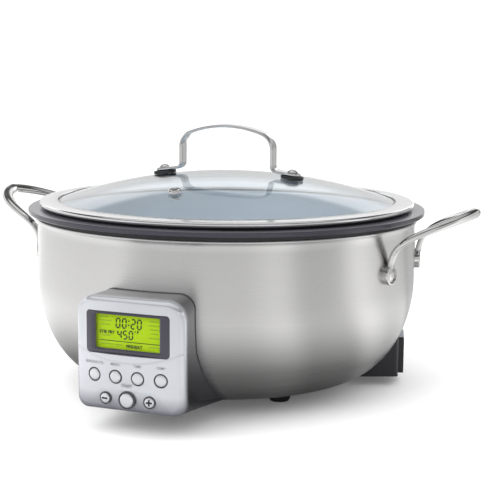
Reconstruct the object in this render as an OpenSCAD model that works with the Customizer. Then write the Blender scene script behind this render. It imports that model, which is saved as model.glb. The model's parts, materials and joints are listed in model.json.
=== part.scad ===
// Round digital slow cooker: steel shell, lift-out pot, domed glass lid.
// The control panel faces -Y, the side handles lie along X, +Z is up.
// The origin is the middle of the footprint, on the table.

/* [Shell and pot] */
// Radius of the steel shell's straight wall
shell_r = 162.5; // [162:0.5:163]
// Sheet thickness of the shell
shell_t = 1.2; // [1:0.1:1.4]
// Radius of the flat ring under the shell
shell_base_r = 103; // [101:1:105]
// Height of the shell's flat underside above the table
shell_base_z = 9.5; // [9:0.5:10]
// Height at which the bowl curve meets the straight wall
bowl_top_z = 94; // [92:1:96]
// Height of the pot's rim above the table
rim_z = 153; // [152:0.5:154]
// Radius of the pot's flat flange
flange_r = 170; // [169:0.5:171]
// Thickness of the pot's flange
flange_t = 3.9; // [3.5:0.1:4.2]
// Inside radius of the pot
pot_r = 146; // [145:0.5:146.5]
// Wall thickness of the pot
pot_t = 2.2; // [2:0.1:2.4]
// Height of the pot's underside above the table
pot_floor_z = 42; // [41.5:0.5:43]

/* [Lid] */
// Outer radius of the steel lid ring
lid_ring_r = 160.6; // [160:0.2:161]
// Inner radius of the lid ring, where the glass shows
lid_glass_r = 145; // [144:0.5:145]
// Radius of the glass dome's outer surface
dome_r = 453; // [451:1:456]
// Height of the dome's top above the pot's rim
dome_h = 29; // [28.5:0.5:29.5]
// Top of the lid handle above the pot's rim
lid_handle_h = 70; // [68:1:72]
// Distance from the lid's centre to a handle leg
lid_leg_x = 42; // [41:0.5:43]

/* [Side handles] */
// Reach of a side handle's tip from the pot's axis
handle_tip_r = 220.5; // [219:0.5:221]
// Angle of each handle foot from the handle's middle
handle_foot_angle = 16.2; // [16:0.1:16.5]

/* [Control panel] */
// Radius of the panel's curved face
face_r = 196.5; // [196:0.5:197]
// Half width of the panel's face
face_half_w = 44.3; // [44:0.1:45]
// Lower edge of the face above the table
face_z0 = 19; // [18.5:0.5:19.5]
// Upper edge of the face above the table
face_z1 = 105; // [104.5:0.5:105.5]
// Button travel
button_travel = 0.8; // [0.5:0.1:0.8]

/* [Power inlet] */
// Angle of the inlet block from +X
inlet_angle = 22; // [20:1:24]
// Outer face of the inlet block from the pot's axis
inlet_r = 148.8; // [148:0.2:149.6]
// Half width of the inlet block
inlet_half_w = 28.6; // [28:0.2:29]

/* [Hidden] */
$fn = 96;

// ---- Placing ----
cap_proud = 0.6;
face_reach = face_r + cap_proud;
axis_y = (face_reach - flange_r) / 2;
running_gap = 0.06;
seat_gap = 0.1;
tiny = 0.01;
wire_sides = 8;

// ---- Bowl curve: a quarter ellipse from the straight wall to the flat ring ----
bowl_a = shell_r - shell_base_r;
bowl_b = bowl_top_z - shell_base_z;
bowl_steps = 20;
function bowl_curve(off) = [
    for (i = [0:bowl_steps])
        [shell_base_r + (bowl_a + off) * cos(90 * i / bowl_steps),
         bowl_top_z - (bowl_b + off) * sin(90 * i / bowl_steps)]
];
function reversed(list) = [for (i = [len(list) - 1:-1:0]) list[i]];
function arc_points(cx, cy, r, a0, a1, steps) = [
    for (i = [0:steps])
        let (a = a0 + (a1 - a0) * i / steps)
            [cx + r * cos(a), cy + r * sin(a)]
];

// ---- Rim stack ----
wall_top_z = rim_z - 12;
bead_r = 1.1;
bead_mid_r = shell_r + 0.7;
bead_mid_z = rim_z - 8.4;
bead_top_z = bead_mid_z + bead_r;
seal_top_z = rim_z - flange_t - seat_gap;

// ---- Pot and well ----
pot_out_r = pot_r + pot_t;
pot_corner_r = 32;
corner_steps = 10;
well_gap = 3;
well_t = 0.7;
well_r = pot_out_r + well_gap;
well_mouth_r = 99;
well_lip_z = rim_z - 8.6;

// ---- Heater ----
plate_r = 96;
plate_top_z = pot_floor_z - 0.3;
plate_t = 8;
plate_z = plate_top_z - plate_t;
sensor_hole_r = 10;
element_ring_r = 78;
element_r = 3.5;
element_gap_angle = 24;
element_pin_angle = 16;
element_pin_r = 2.2;
element_pin_z = 23.5;
reflector_z = 28;
reflector_t = 0.6;
reflector_r = 91;
standoff_ring_r = 60;
standoff_r = 3;
standoff_angles = [100, 220, 320];
floor_z = shell_base_z;
base_plate_t = 1.5;

// ---- Sensor ----
sensor_r = 9;
sensor_cap_t = 3;
sensor_top_z = pot_floor_z - 0.2;
stem_r = 3;
bracket_z = 24;
bracket_t = 1.5;
clip_z = 21.2;
coil_r = 5.6;
coil_wire_r = 0.6;
coil_turns = 5;
coil_z0 = bracket_z + bracket_t + coil_wire_r + 0.05;
coil_z1 = sensor_top_z - sensor_cap_t - coil_wire_r - 0.05;
coil_sides = 6;
coil_rings = 14 * coil_turns;

// ---- Power board ----
board_x0 = 40;
board_x1 = 76;
power_half_w = 29;
power_board_z = 15;

// ---- Feet ----
foot_ring_r = 87;
foot_angle = 52.5;
foot_angles = [foot_angle, 180 - foot_angle, 180 + foot_angle, -foot_angle];
foot_top_r = 9.75;
foot_bottom_r = 7.75;
foot_top_z = floor_z - base_plate_t;

// ---- Lid ----
lid_z = rim_z + 2.1;
dome_mid_z = rim_z + dome_h - dome_r;
glass_t = 4;
glass_rim_r = 155;
glass_rim_z0 = lid_z + 1.1;
glass_rim_z1 = lid_z + 3.3;
function dome_z(r, depth) = dome_mid_z + sqrt(pow(dome_r - depth, 2) - r * r);
lid_screw_x = 59;
foot_tilt = asin(lid_screw_x / dome_r);
pad_t = 3;
strap_t = 2.8;
strap_w = 14;
arch_r = 96;
shoulder_r = 14;
strap_top_z = rim_z + lid_handle_h;
foot_len = 25;
heel_r = 5;
strap_foot_z = dome_z(lid_screw_x, 0) + pad_t / cos(foot_tilt);
vent_x = -9;
vent_y = -89.6;
vent_hole_r = 3.6;

// ---- Panel ----
face_t = 2.8;
wall_t = 2.6;
corner_r = 14;
low_corner_r = 9;
back_y = -110;
back_w = 29.5;
back_low_w = 49;
back_z0 = 13.6;
back_z1 = 106;
flare_z = 60;
seal_t = 1.2;
bezel_half_w = 33.9;
bezel_z0 = 62.9;
bezel_z1 = 95.1;
window_half_w = 26.1;
window_z0 = 66.9;
window_z1 = 92.6;
row_z = 46.4;
low_row_z = 29.2;
pitch_angle = 5.3;
cap_r = 4.5;
small_cap_r = 3.9;
start_cap_r = 5.5;
ring_w = 0.9;
start_ring_w = 1.3;
// Name, angle round the face, height and cap radius of each button
BUTTONS = [
    ["sear", -1.5 * pitch_angle, row_z, cap_r],
    ["menu", -0.5 * pitch_angle, row_z, cap_r],
    ["time", 0.5 * pitch_angle, row_z, cap_r],
    ["temp", 1.5 * pitch_angle, row_z, cap_r],
    ["minus", -pitch_angle, low_row_z, small_cap_r],
    ["start", 0, low_row_z, start_cap_r],
    ["plus", pitch_angle, low_row_z, small_cap_r]
];
function ring_of(b) = b[3] == start_cap_r ? start_ring_w : ring_w;
board_y = -184.5;
board_t = 1.6;
board_half_w = 36;
board_z0 = 24;
board_z1 = 100;
switch_h = 3.9;
stem_gap = 1.1;
post_x = 33.5;
post_z = [27.5, 98.5];
housing_screw_angle = 11.5;
housing_screw_z = [72, 98];
cable_z = 80;

// ---- Inlet ----
inlet_z0 = 8;
socket_t = 6;
socket_half_w = 17;
socket_z0 = 8;
socket_z1 = 40;
well_half_w = 11;
well_z0 = 12;
well_z1 = 26;
well_depth = 11;
pin_z = 16;
pin_pitch = 6;
pin_r = 1.6;
inlet_screw_y = 14.2;
inlet_screw_z = 24;

// ---- Handles ----
rivet_z = rim_z - 43;
boss_r = 8.2;
boss_reach = 4.9;
recess_r = 6.3;
recess_depth = 1.4;
rivet_head_r = 5.7;
bar_steps = 16;
bar_sides = 16;
neck_half_w = 4.2;
tip_half_w = 5.9;
neck_half_h = 2.35;
tip_half_h = 4.5;
// Centre line of half a bar, as the control points of one smooth curve
neck_r = shell_r + 2.8;
tip_x = handle_tip_r - tip_half_w;
neck = polar(neck_r, -handle_foot_angle, rivet_z + 4);
BAR = [neck, neck + [1.1, 1.6, 26], [tip_x - 39.5, -60.7, rim_z - 11.6],
       [tip_x - 4, -32.3, rim_z + 2.7], [tip_x, 0, rim_z + 4.3]];
BLEND = [1, 4, 6, 4, 1];

// ---------------------------------------------------------------- helpers

module placed() {
    translate([0, axis_y, 0]) children();
}

// Turns the front, -Y, to an angle round the pot's axis
module at_front(angle) {
    rotate([0, 0, angle]) children();
}

module ring(r_out, r_in, z0, z1) {
    translate([0, 0, z0])
        difference() {
            cylinder(r = r_out, h = z1 - z0);
            translate([0, 0, -1]) cylinder(r = r_in, h = z1 - z0 + 2);
        }
}

// A cylinder along -Y between two distances from the axis
module radial_pin(z, r0, r1, r) {
    translate([0, -r0, z]) rotate([90, 0, 0]) cylinder(r = r, h = r1 - r0);
}

// Closed tube through a list of rings that all have the same number of points
module tube_through(rings) {
    n = len(rings[0]);
    last = len(rings) - 1;
    sides = [for (i = [0:last - 1], k = [0:n - 1]) let (m = (k + 1) % n)
        [i * n + k, i * n + m, (i + 1) * n + m, (i + 1) * n + k]];
    start_cap = [[for (k = [n - 1:-1:0]) k]];
    end_cap = [[for (k = [0:n - 1]) last * n + k]];
    polyhedron(points = [for (r = rings) for (p = r) p],
               faces = concat(sides, start_cap, end_cap), convexity = 8);
}

// One pass of corner cutting: every bend is replaced by two gentler ones
function eased(p) = let (last = len(p) - 1) concat(
    [p[0]],
    [for (i = [1:last - 1], s = [-1, 1]) p[i] + (p[i + s] - p[i]) * 0.25],
    [p[last]]);
function unit(v) = v / norm(v);
// Any direction square to d that turns steadily along a route
function across(d) = unit(cross(d, abs(d[2]) > 0.9 ? [0.3, 1, 0.1] : [0.1, 0.2, 1]));

// A round wire of radius r along a route of points
module wire(route, r) {
    p = eased(eased(route));
    last = len(p) - 1;
    rings = [for (i = [0:last])
        let (d = unit(p[min(i + 1, last)] - p[max(i - 1, 0)]), u = across(d), v = cross(u, d))
            [for (k = [0:wire_sides - 1]) let (b = 360 * k / wire_sides)
                p[i] + r * (cos(b) * u + sin(b) * v)]];
    tube_through(rings);
}

module rounded_rect(w, h, r) {
    square([w - 2 * r, h], center = true);
    square([w, h - 2 * r], center = true);
    for (x = [-1, 1], y = [-1, 1])
        translate([x * (w / 2 - r), y * (h / 2 - r)]) circle(r = r, $fn = 48);
}

// A rounded rectangle facing -Y, extruded from y0 back to y1
module front_slab(half_w, z0, z1, r, y0, y1) {
    translate([0, y1, (z0 + z1) / 2])
        rotate([90, 0, 0])
            linear_extrude(height = y1 - y0)
                rounded_rect(2 * half_w, z1 - z0, r);
}

module bowl_solid(off) {
    rotate_extrude($fn = 180)
        polygon(concat([[0, rim_z]], [[shell_r + off, rim_z]],
                       bowl_curve(off), [[0, shell_base_z - off]]));
}

function polar(r, a, z) = [r * cos(a), r * sin(a), z];

// ------------------------------------------------------------ shell and base

module outer_shell() {
    inside = bowl_curve(-shell_t);
    bead = arc_points(bead_mid_r, bead_mid_z, bead_r, 230, -60, 14);
    placed() color("silver") difference() {
        rotate_extrude($fn = 180)
            polygon(concat(
                [[shell_r - shell_t, wall_top_z]],
                bead,
                [[shell_r, wall_top_z]],
                bowl_curve(0),
                [[84, shell_base_z]],
                [[84, shell_base_z + shell_t]],
                reversed(inside)));
        for (a = [-1, 1], z = housing_screw_z)
            at_front(a * housing_screw_angle) radial_pin(z, 150, 170, 1.7);
        radial_pin(cable_z, 150, 170, 4);
        at_front(90 + inlet_angle) radial_pin(24, 118, 146, 8);
        for (s = [0, 180], a = [-1, 1])
            at_front(90 + s + a * handle_foot_angle) radial_pin(rivet_z, 150, 172, 3.06);
        for (a = [0:90:270]) translate(polar(93, a, 0)) cylinder(r = 1.7, h = 20);
        for (a = foot_angles) translate(polar(foot_ring_r, a - 90, 0)) cylinder(r = 4.2, h = 20);
    }
}

module rim_gasket() {
    placed() color("black") rotate_extrude($fn = 180)
        polygon([
            [well_r + 1.5, well_lip_z + well_t + tiny],
            [bead_mid_r - bead_r - 0.3, well_lip_z + well_t + tiny],
            [bead_mid_r - bead_r - 0.3, bead_top_z + tiny],
            [bead_mid_r + 0.2, bead_top_z + tiny],
            [bead_mid_r + 0.2, seal_top_z],
            [well_r + 1.5, seal_top_z]
        ]);
}

module heat_well() {
    mid_r = pot_out_r - pot_corner_r;
    mid_z = pot_floor_z + pot_corner_r;
    inner = arc_points(mid_r, mid_z, pot_corner_r + well_gap, 0, -90, corner_steps);
    outer = arc_points(mid_r, mid_z, pot_corner_r + well_gap + well_t, -90, 0, corner_steps);
    lip_r = shell_r - shell_t - 0.4;
    placed() color("gainsboro") rotate_extrude($fn = 180)
        polygon(concat(
            [[lip_r, well_lip_z]],
            [[lip_r, well_lip_z + well_t]],
            [[well_r, well_lip_z + well_t]],
            inner,
            [[well_mouth_r, mid_z - pot_corner_r - well_gap]],
            [[well_mouth_r, mid_z - pot_corner_r - well_gap - well_t]],
            outer,
            [[well_r + well_t, well_lip_z]]));
}

module base_plate() {
    placed() color("dimgray") difference() {
        translate([0, 0, foot_top_z]) cylinder(r = 99, h = base_plate_t);
        for (a = [0:90:270]) translate(polar(93, a, 0)) cylinder(r = 1.7, h = 20);
        for (a = foot_angles) translate(polar(foot_ring_r, a - 90, 0)) cylinder(r = 2.1, h = 20);
        for (row = [-3:3], side = [-1, 1])
            translate([side * 34, row * 8, foot_top_z - 1])
                linear_extrude(height = 4) rounded_rect(26, 3, 1.4);
    }
}

module base_screws() {
    placed() color("silver") for (a = [0:90:270])
        translate(polar(93, a, 0)) difference() {
            union() {
                translate([0, 0, foot_top_z - 1.8]) cylinder(r = 3, h = 1.8);
                translate([0, 0, foot_top_z - 1]) cylinder(r = 1.6, h = 6);
            }
            translate([0, 0, foot_top_z - 2]) cylinder(r = 1.5, h = 1.2, $fn = 6);
        }
}

module foot_pads() {
    placed() color("black") for (a = foot_angles)
        translate(polar(foot_ring_r, a - 90, 0)) difference() {
            union() {
                cylinder(r1 = foot_bottom_r, r2 = foot_top_r - 0.6, h = 3);
                translate([0, 0, 3])
                    cylinder(r1 = foot_top_r - 0.6, r2 = foot_top_r, h = foot_top_z - 3);
            }
            translate([0, 0, -1]) cylinder(r = 4, h = 4);
            cylinder(r = 2.1, h = 12);
        }
}

module foot_screws() {
    placed() color("silver") for (a = foot_angles)
        translate(polar(foot_ring_r, a - 90, 0)) difference() {
            union() {
                translate([0, 0, 1.2]) cylinder(r = 3.6, h = 1.8);
                translate([0, 0, 2]) cylinder(r = 2, h = 11);
                translate([0, 0, floor_z]) cylinder(r = 3.8, h = 3, $fn = 6);
            }
            translate([0, 0, 1]) cylinder(r = 1.6, h = 1.2, $fn = 6);
        }
}

// ------------------------------------------------------------------- heater

module heating_plate() {
    placed() color("lightgray") difference() {
        translate([0, 0, plate_z]) cylinder(r = plate_r, h = plate_t, $fn = 180);
        translate([0, 0, plate_z - 1]) cylinder(r = sensor_hole_r, h = plate_t + 2);
        rotate_extrude($fn = 180)
            translate([element_ring_r, plate_z]) circle(r = element_r + 0.15, $fn = 48);
        for (a = standoff_angles) rotate([0, 0, a + inlet_angle])
            translate([standoff_ring_r, 0, plate_z - 1]) cylinder(r = 1.6, h = 6);
    }
}

module heater_element() {
    end_a = element_gap_angle / 2;
    placed() color("dimgray") rotate([0, 0, inlet_angle + 180]) union() {
        rotate([0, 0, end_a]) rotate_extrude(angle = 360 - element_gap_angle, $fn = 180)
            translate([element_ring_r, plate_z]) circle(r = element_r, $fn = 48);
        for (s = [-1, 1]) rotate([0, 0, s * element_pin_angle])
            translate([element_ring_r, 0, element_pin_z])
                cylinder(r = element_pin_r, h = plate_z - element_pin_z);
    }
}

module plate_standoffs() {
    placed() color("gray") for (a = standoff_angles) rotate([0, 0, a + inlet_angle])
        translate([standoff_ring_r, 0, 0]) union() {
            translate([0, 0, floor_z]) cylinder(r = standoff_r, h = plate_z - floor_z);
            translate([0, 0, plate_z - 1]) cylinder(r = 1.5, h = 5);
        }
}

module heat_reflector() {
    placed() color("gainsboro") difference() {
        translate([0, 0, reflector_z]) cylinder(r = reflector_r, h = reflector_t, $fn = 180);
        translate([0, 0, reflector_z - 1]) cylinder(r = 8, h = 4);
        for (a = standoff_angles) rotate([0, 0, a + inlet_angle])
            translate([standoff_ring_r, 0, reflector_z - 1]) cylinder(r = standoff_r + 0.1, h = 4);
        rotate([0, 0, inlet_angle + 180]) for (s = [-1, 1]) rotate([0, 0, s * element_pin_angle])
            translate([element_ring_r, 0, reflector_z - 1]) cylinder(r = 4, h = 4);
    }
}

module sensor_bracket() {
    leg_y = 28;
    placed() color("gainsboro") rotate([0, 0, inlet_angle]) difference() {
        union() {
            translate([-7, -leg_y, bracket_z]) cube([14, 2 * leg_y, bracket_t]);
            for (s = [-1, 1]) {
                translate([-7, s * leg_y - bracket_t / 2, floor_z])
                    cube([14, bracket_t, bracket_z + bracket_t - floor_z]);
                translate([-7, s * (leg_y + 4) - 4, floor_z]) cube([14, 8, bracket_t]);
            }
        }
        translate([0, 0, bracket_z - 1]) cylinder(r = stem_r + running_gap, h = 4);
    }
}

// Compression coil between the bracket and the sensor's cap
function coil_point(i) = let (a = 360 * coil_turns * i / coil_rings)
    [coil_r * cos(a), coil_r * sin(a), coil_z0 + (coil_z1 - coil_z0) * i / coil_rings];
function coil_ring(i) = let (p = coil_point(i), a = 360 * coil_turns * i / coil_rings)
    [for (k = [0:coil_sides - 1]) let (b = 360 * k / coil_sides)
        p + coil_wire_r * [cos(b) * cos(a), cos(b) * sin(a), sin(b)]];

module sensor_spring() {
    placed() color("silver") tube_through([for (i = [0:coil_rings]) coil_ring(i)]);
}

module thermal_sensor() {
    placed() color("silver") union() {
        translate([0, 0, sensor_top_z - sensor_cap_t]) cylinder(r = sensor_r, h = sensor_cap_t);
        difference() {
            translate([0, 0, clip_z - 1.5]) cylinder(r = stem_r, h = sensor_top_z - clip_z);
            translate([0, 0, clip_z]) ring(stem_r + 1, stem_r - 0.6, 0, 0.8);
        }
    }
}

module sensor_clip() {
    placed() color("gray") difference() {
        translate([0, 0, clip_z + 0.05]) cylinder(r = 5, h = 0.7);
        translate([0, 0, clip_z - 1]) cylinder(r = stem_r - 0.6 + 0.02, h = 3);
        translate([0, -stem_r + 0.6, clip_z - 1]) cube([8, 2 * (stem_r - 0.6), 3]);
    }
}

module thermal_fuse() {
    placed() color("tan") rotate([0, 0, inlet_angle]) translate([-38, -8, reflector_z - 3])
        rotate([-90, 0, 0]) union() {
            cylinder(r = 2.5, h = 16);
            translate([0, 0, -5]) cylinder(r = 0.6, h = 26, $fn = 24);
            translate([-5, -3, 6]) cube([10, 1, 4]);
        }
}

// -------------------------------------------------------- power electronics

module power_tray() {
    placed() color("white") rotate([0, 0, inlet_angle]) union() {
        translate([board_x0, -power_half_w, shell_base_z + shell_t + 0.1])
            cube([board_x1 - board_x0, 2 * power_half_w, 1.6]);
        for (x = [board_x0 + 4, board_x1 - 4], y = [-1, 1])
            translate([x, y * (power_half_w - 4), shell_base_z + shell_t + 1])
                cylinder(r = 2.5, h = power_board_z - shell_base_z - shell_t - 1);
    }
}

module power_board() {
    placed() color("darkgreen") rotate([0, 0, inlet_angle]) difference() {
        translate([board_x0, -power_half_w, power_board_z])
            cube([board_x1 - board_x0, 2 * power_half_w, 1.6]);
        for (x = [board_x0 + 4, board_x1 - 4], y = [-1, 1])
            translate([x, y * (power_half_w - 4), power_board_z - 1]) cylinder(r = 1.2, h = 4);
    }
}

module power_parts() {
    z = power_board_z + 1.6;
    placed() color("royalblue") rotate([0, 0, inlet_angle]) translate([0, 0, z]) {
        translate([56, 4, 0]) cube([15, 18, 10]);
        translate([58, -22, 0]) cube([10, 16, 9]);
        translate([42, -10, 0]) cube([12, 16, 8]);
        translate([50, 14, 2.5]) rotate([-90, 0, 0]) cylinder(r = 2.5, h = 11);
    }
}

module heater_leads() {
    r = 1;
    z = 20;
    pad_x = 43;
    end_z = element_pin_z - 0.05;
    placed() color("white") rotate([0, 0, inlet_angle]) {
        a = polar(element_ring_r, 180 - element_pin_angle, end_z);
        b = polar(element_ring_r, 180 + element_pin_angle, end_z);
        wire([a, a - [0, 0, 1.5], [-72, 24, z], [-30, 45, z], [10, 46, z], [pad_x, 21, z],
              [pad_x, 21, power_board_z + 1.65]], r);
        wire([b, b - [0, 0, 1.5], [-72, -24, z], [-42, -22, z], [0, -42, z], [28, -32, z],
              [pad_x, -20, z], [pad_x, -20, power_board_z + 1.65]], r);
    }
}

module panel_cable() {
    front = -90;
    board_end = inlet_angle;
    board_r = 75;
    x_end = polar(board_r, inlet_angle - 13, power_board_z + 1.7);
    placed() color("dimgray") wire([
        [0, board_y + board_t + 0.05, cable_z],
        [0, -156.4, cable_z],
        [0, -156.2, 72],
        [0, -153.2, 62],
        [0, -146, 50],
        [0, -137, 40],
        [0, -116, 24],
        polar(100, front + 8, 20),
        polar(97, front + 35, 20),
        polar(96, front + 60, 20),
        polar(95, front + 85, 20),
        polar(board_r, board_end - 13, 20),
        x_end
    ], 1.6);
}

// -------------------------------------------------------------------- inlet

module inlet_frame() {
    placed() rotate([0, 0, inlet_angle]) children();
}

module inlet_block(r0, half_w, z0, z1) {
    translate([r0, -half_w, z0]) cube([inlet_r - r0 - 3, 2 * half_w, z1 - z0]);
    translate([r0, -half_w + 3, z0]) cube([inlet_r - r0, 2 * half_w - 6, z1 - z0]);
    for (s = [-1, 1]) translate([inlet_r - 3, s * (half_w - 3), z0])
        cylinder(r = 3, h = z1 - z0);
}

module socket_well(x0, x1) {
    translate([x0, -well_half_w, well_z0])
        cube([x1 - x0, 2 * well_half_w, well_z1 - well_z0]);
}

module inlet_housing() {
    color("black") inlet_frame() difference() {
        inlet_block(110, inlet_half_w, inlet_z0, 46);
        bowl_solid(seal_t);
        socket_well(inlet_r + socket_t - well_depth, inlet_r + 1);
        translate([124, -well_half_w, well_z0]) cube([14, 2 * well_half_w, 40]);
        for (p = [-1:1]) translate([130, p * pin_pitch, pin_z]) rotate([0, 90, 0])
            cylinder(r = pin_r, h = 20);
        for (s = [-1, 1]) translate([inlet_r - 10, s * inlet_screw_y, inlet_screw_z])
            rotate([0, 90, 0]) cylinder(r = 1.05, h = 12);
    }
}

module inlet_gasket() {
    color("black") inlet_frame() difference() {
        intersection() {
            bowl_solid(seal_t);
            inlet_block(108, inlet_half_w + 0.4, inlet_z0, 46);
        }
        bowl_solid(0.05);
        translate([80, -inlet_half_w + 3, 0]) cube([inlet_r - 83, 2 * inlet_half_w - 6, 60]);
    }
}

module inlet_socket() {
    color("black") inlet_frame() difference() {
        translate([inlet_r, 0, (socket_z0 + socket_z1) / 2]) rotate([90, 0, 90])
            linear_extrude(height = socket_t)
                rounded_rect(2 * socket_half_w, socket_z1 - socket_z0, 2.5);
        socket_well(inlet_r - 1, inlet_r + socket_t + 1);
        bowl_solid(0.3);
        for (s = [-1, 1]) translate([inlet_r - 1, s * inlet_screw_y, inlet_screw_z])
            rotate([0, 90, 0]) cylinder(r = 1.2, h = 12);
        for (s = [-1, 1]) translate([inlet_r + socket_t - 1.2, s * inlet_screw_y, inlet_screw_z])
            rotate([0, 90, 0]) cylinder(r = 2.3, h = 12);
    }
}

module inlet_trim() {
    color("silver") inlet_frame() difference() {
        translate([0, socket_half_w - 1, 0]) rotate([90, 0, 0])
            linear_extrude(height = 2 * socket_half_w - 2)
                polygon([[inlet_r - 2, socket_z1 + tiny], [inlet_r + socket_t, socket_z1 + tiny],
                         [inlet_r + socket_t - 0.6, socket_z1 + 6.5],
                         [inlet_r + 1, socket_z1 + 6.5]]);
        bowl_solid(0.2);
        inlet_block(100, inlet_half_w + 2, inlet_z0, 46);
    }
}

module inlet_pins() {
    color("gold") inlet_frame() for (p = [-1:1])
        translate([134, p * pin_pitch, pin_z]) rotate([0, 90, 0]) {
            cylinder(r = pin_r, h = inlet_r + socket_t - 134 - 3);
            translate([0, 0, inlet_r + socket_t - 134 - 3]) sphere(r = pin_r, $fn = 32);
        }
}

module inlet_screws() {
    head_x = inlet_r + socket_t - 1.2;
    color("silver") inlet_frame() for (s = [-1, 1])
        translate([0, s * inlet_screw_y, inlet_screw_z]) rotate([0, 90, 0]) difference() {
            union() {
                translate([0, 0, head_x]) cylinder(r = 2.2, h = 1.1);
                translate([0, 0, inlet_r - 8]) cylinder(r = 1, h = head_x - inlet_r + 8);
            }
            translate([0, 0, head_x + 0.5]) cylinder(r = 1.1, h = 2, $fn = 6);
        }
}

module inlet_leads() {
    color("brown") inlet_frame() for (p = [-1:1])
        wire([[133.9, p * pin_pitch, pin_z], [132.6, p * pin_pitch, pin_z],
              [131, p * pin_pitch, 20], [129, p * 5, 23],
              [112, p * 5, 22], [84, p * 5, 20], [73, p * 5 - 1, 20],
              [73, p * 5 - 1, power_board_z + 1.65]], 0.9);
}

// ------------------------------------------------------------- side handles

// A point on the centre line: 0 at the foot's neck, 1 at the tip
function weight(t, k) = BLEND[k] * pow(1 - t, 4 - k) * pow(t, k);
function bar_point(t) = [for (axis = [0:2])
    sum([for (k = [0:4]) weight(t, k) * BAR[k][axis]])];
function sum(v, i = 0) = i == len(v) ? 0 : v[i] + sum(v, i + 1);
function bar_dir(t) = let (h = 0.01)
    unit(t < 1 - h ? bar_point(t + h) - bar_point(max(t - h, 0)) : [0, 1, 0]);
// The bar is a flat strap at the feet and grows rounder towards the tip
function bar_half_w(t) = neck_half_w + (tip_half_w - neck_half_w) * t * t;
function bar_half_h(t) = neck_half_h + (tip_half_h - neck_half_h) * t * t;
// Rounds a square section: fully round at the tip, nearly square at the feet
function bar_bulge(v, t) = sign(v) * pow(abs(v), 0.6 + 0.4 * t);
function bar_side(d) = unit(cross(d, [0.42, 0, -0.91]));
function bar_ring(t) = let (p = bar_point(t), d = bar_dir(t), s = bar_side(d),
    u = cross(s, d))
    [for (k = [0:bar_sides - 1]) let (b = 360 * k / bar_sides)
        p + bar_half_w(t) * bar_bulge(cos(b), t) * s + bar_half_h(t) * bar_bulge(sin(b), t) * u];
function mirrored(ring) = [for (q = ring) [q[0], -q[1], q[2]]];

module handle_right_shape() {
    half = [for (i = [0:bar_steps]) bar_ring(i / bar_steps)];
    other = [for (i = [bar_steps - 1:-1:0]) mirrored(half[i])];
    difference() {
        union() {
            tube_through(concat(half, other));
            for (s = [-1, 1]) at_front(90 + s * handle_foot_angle)
                radial_pin(rivet_z, shell_r - 1, shell_r + boss_reach, boss_r);
        }
        bowl_solid(0.05);
        for (s = [-1, 1]) at_front(90 + s * handle_foot_angle) {
            radial_pin(rivet_z, 150, 190, 3.06);
            radial_pin(rivet_z, shell_r + boss_reach - recess_depth, 190, recess_r);
        }
    }
}

module handle_right() {
    placed() color("lightgray") handle_right_shape();
}

module handle_left() {
    placed() color("lightgray") mirror([1, 0, 0]) handle_right_shape();
}

module handle_rivets() {
    seat = shell_r + boss_reach - recess_depth;
    dome = 11;
    placed() color("silver") for (s = [0, 180], a = [-1, 1])
        at_front(90 + s + a * handle_foot_angle) {
            radial_pin(rivet_z, shell_r - shell_t - 0.3, seat + 0.5, 3);
            radial_pin(rivet_z, shell_r - shell_t - 2.3, shell_r - shell_t - 0.3, 5);
            intersection() {
                translate([0, -(seat + recess_depth - dome), rivet_z]) sphere(r = dome, $fn = 96);
                radial_pin(rivet_z, seat, seat + 4, rivet_head_r);
            }
        }
}

// ------------------------------------------------------------ control panel

// The panel's outer form: a rounded face on straight sides that narrow towards the bowl,
// and a foot that flares out under it
module panel_form(inset) {
    intersection() {
        cylinder(r = face_r - (inset > 0 ? face_t : 0), h = 130, $fn = 360);
        union() {
            hull() {
                face_slab(inset, face_z1);
                back_slab([[back_w - inset, back_z0 + inset], [back_w - inset, back_z1 - inset]]);
            }
            if (inset <= 0) hull() {
                face_slab(inset, flare_z);
                back_slab([[back_low_w - inset, back_z0 + inset], [back_w - inset, flare_z]]);
            }
        }
    }
}

module face_slab(inset, top) {
    front_slab(face_half_w - inset, face_z0 + inset, top - inset,
               corner_r - inset, -face_r - 4, -face_r + 4, $fn = 32);
    front_slab(face_half_w - inset, face_z0 + inset, flare_z - inset,
               low_corner_r - inset, -face_r - 4, -face_r + 4, $fn = 32);
}

// Thin plate at the back, from the right-hand corners given, bottom first
module back_slab(right) {
    left = [for (q = right) [-q[0], q[1]]];
    translate([0, back_y, 0]) rotate([90, 0, 0]) linear_extrude(height = 0.1)
        polygon(concat(right, reversed(left)));
}

module control_housing() {
    placed() color("gainsboro") difference() {
        union() {
            difference() {
                panel_form(0);
                panel_form(wall_t);
            }
            for (a = [-1, 1], z = housing_screw_z)
                at_front(a * housing_screw_angle) radial_pin(z, 162, 178, 4);
            for (x = [-1, 1], z = post_z)
                translate([x * post_x, board_y, z]) rotate([90, 0, 0]) cylinder(r = 2.4, h = 8);
        }
        bowl_solid(seal_t);
        front_slab(bezel_half_w, bezel_z0, bezel_z1, 3, -200, -180);
        for (b = BUTTONS) at_front(b[1])
            radial_pin(b[2], face_r - 8, face_r + 4, b[3] + ring_of(b) + 0.05);
        for (a = [-1, 1], z = housing_screw_z)
            at_front(a * housing_screw_angle) radial_pin(z, 160, 176, 1.55);
        for (x = [-1, 1], z = post_z)
            translate([x * post_x, board_y + 1, z]) rotate([90, 0, 0]) cylinder(r = 1.05, h = 6);
    }
}

module housing_gasket() {
    placed() color("black") difference() {
        intersection() {
            bowl_solid(seal_t - 0.03);
            panel_form(-0.4);
        }
        bowl_solid(tiny);
        panel_form(wall_t);
        for (a = [-1, 1], z = housing_screw_z)
            at_front(a * housing_screw_angle) radial_pin(z, 150, 180, 4.2);
    }
}

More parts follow.
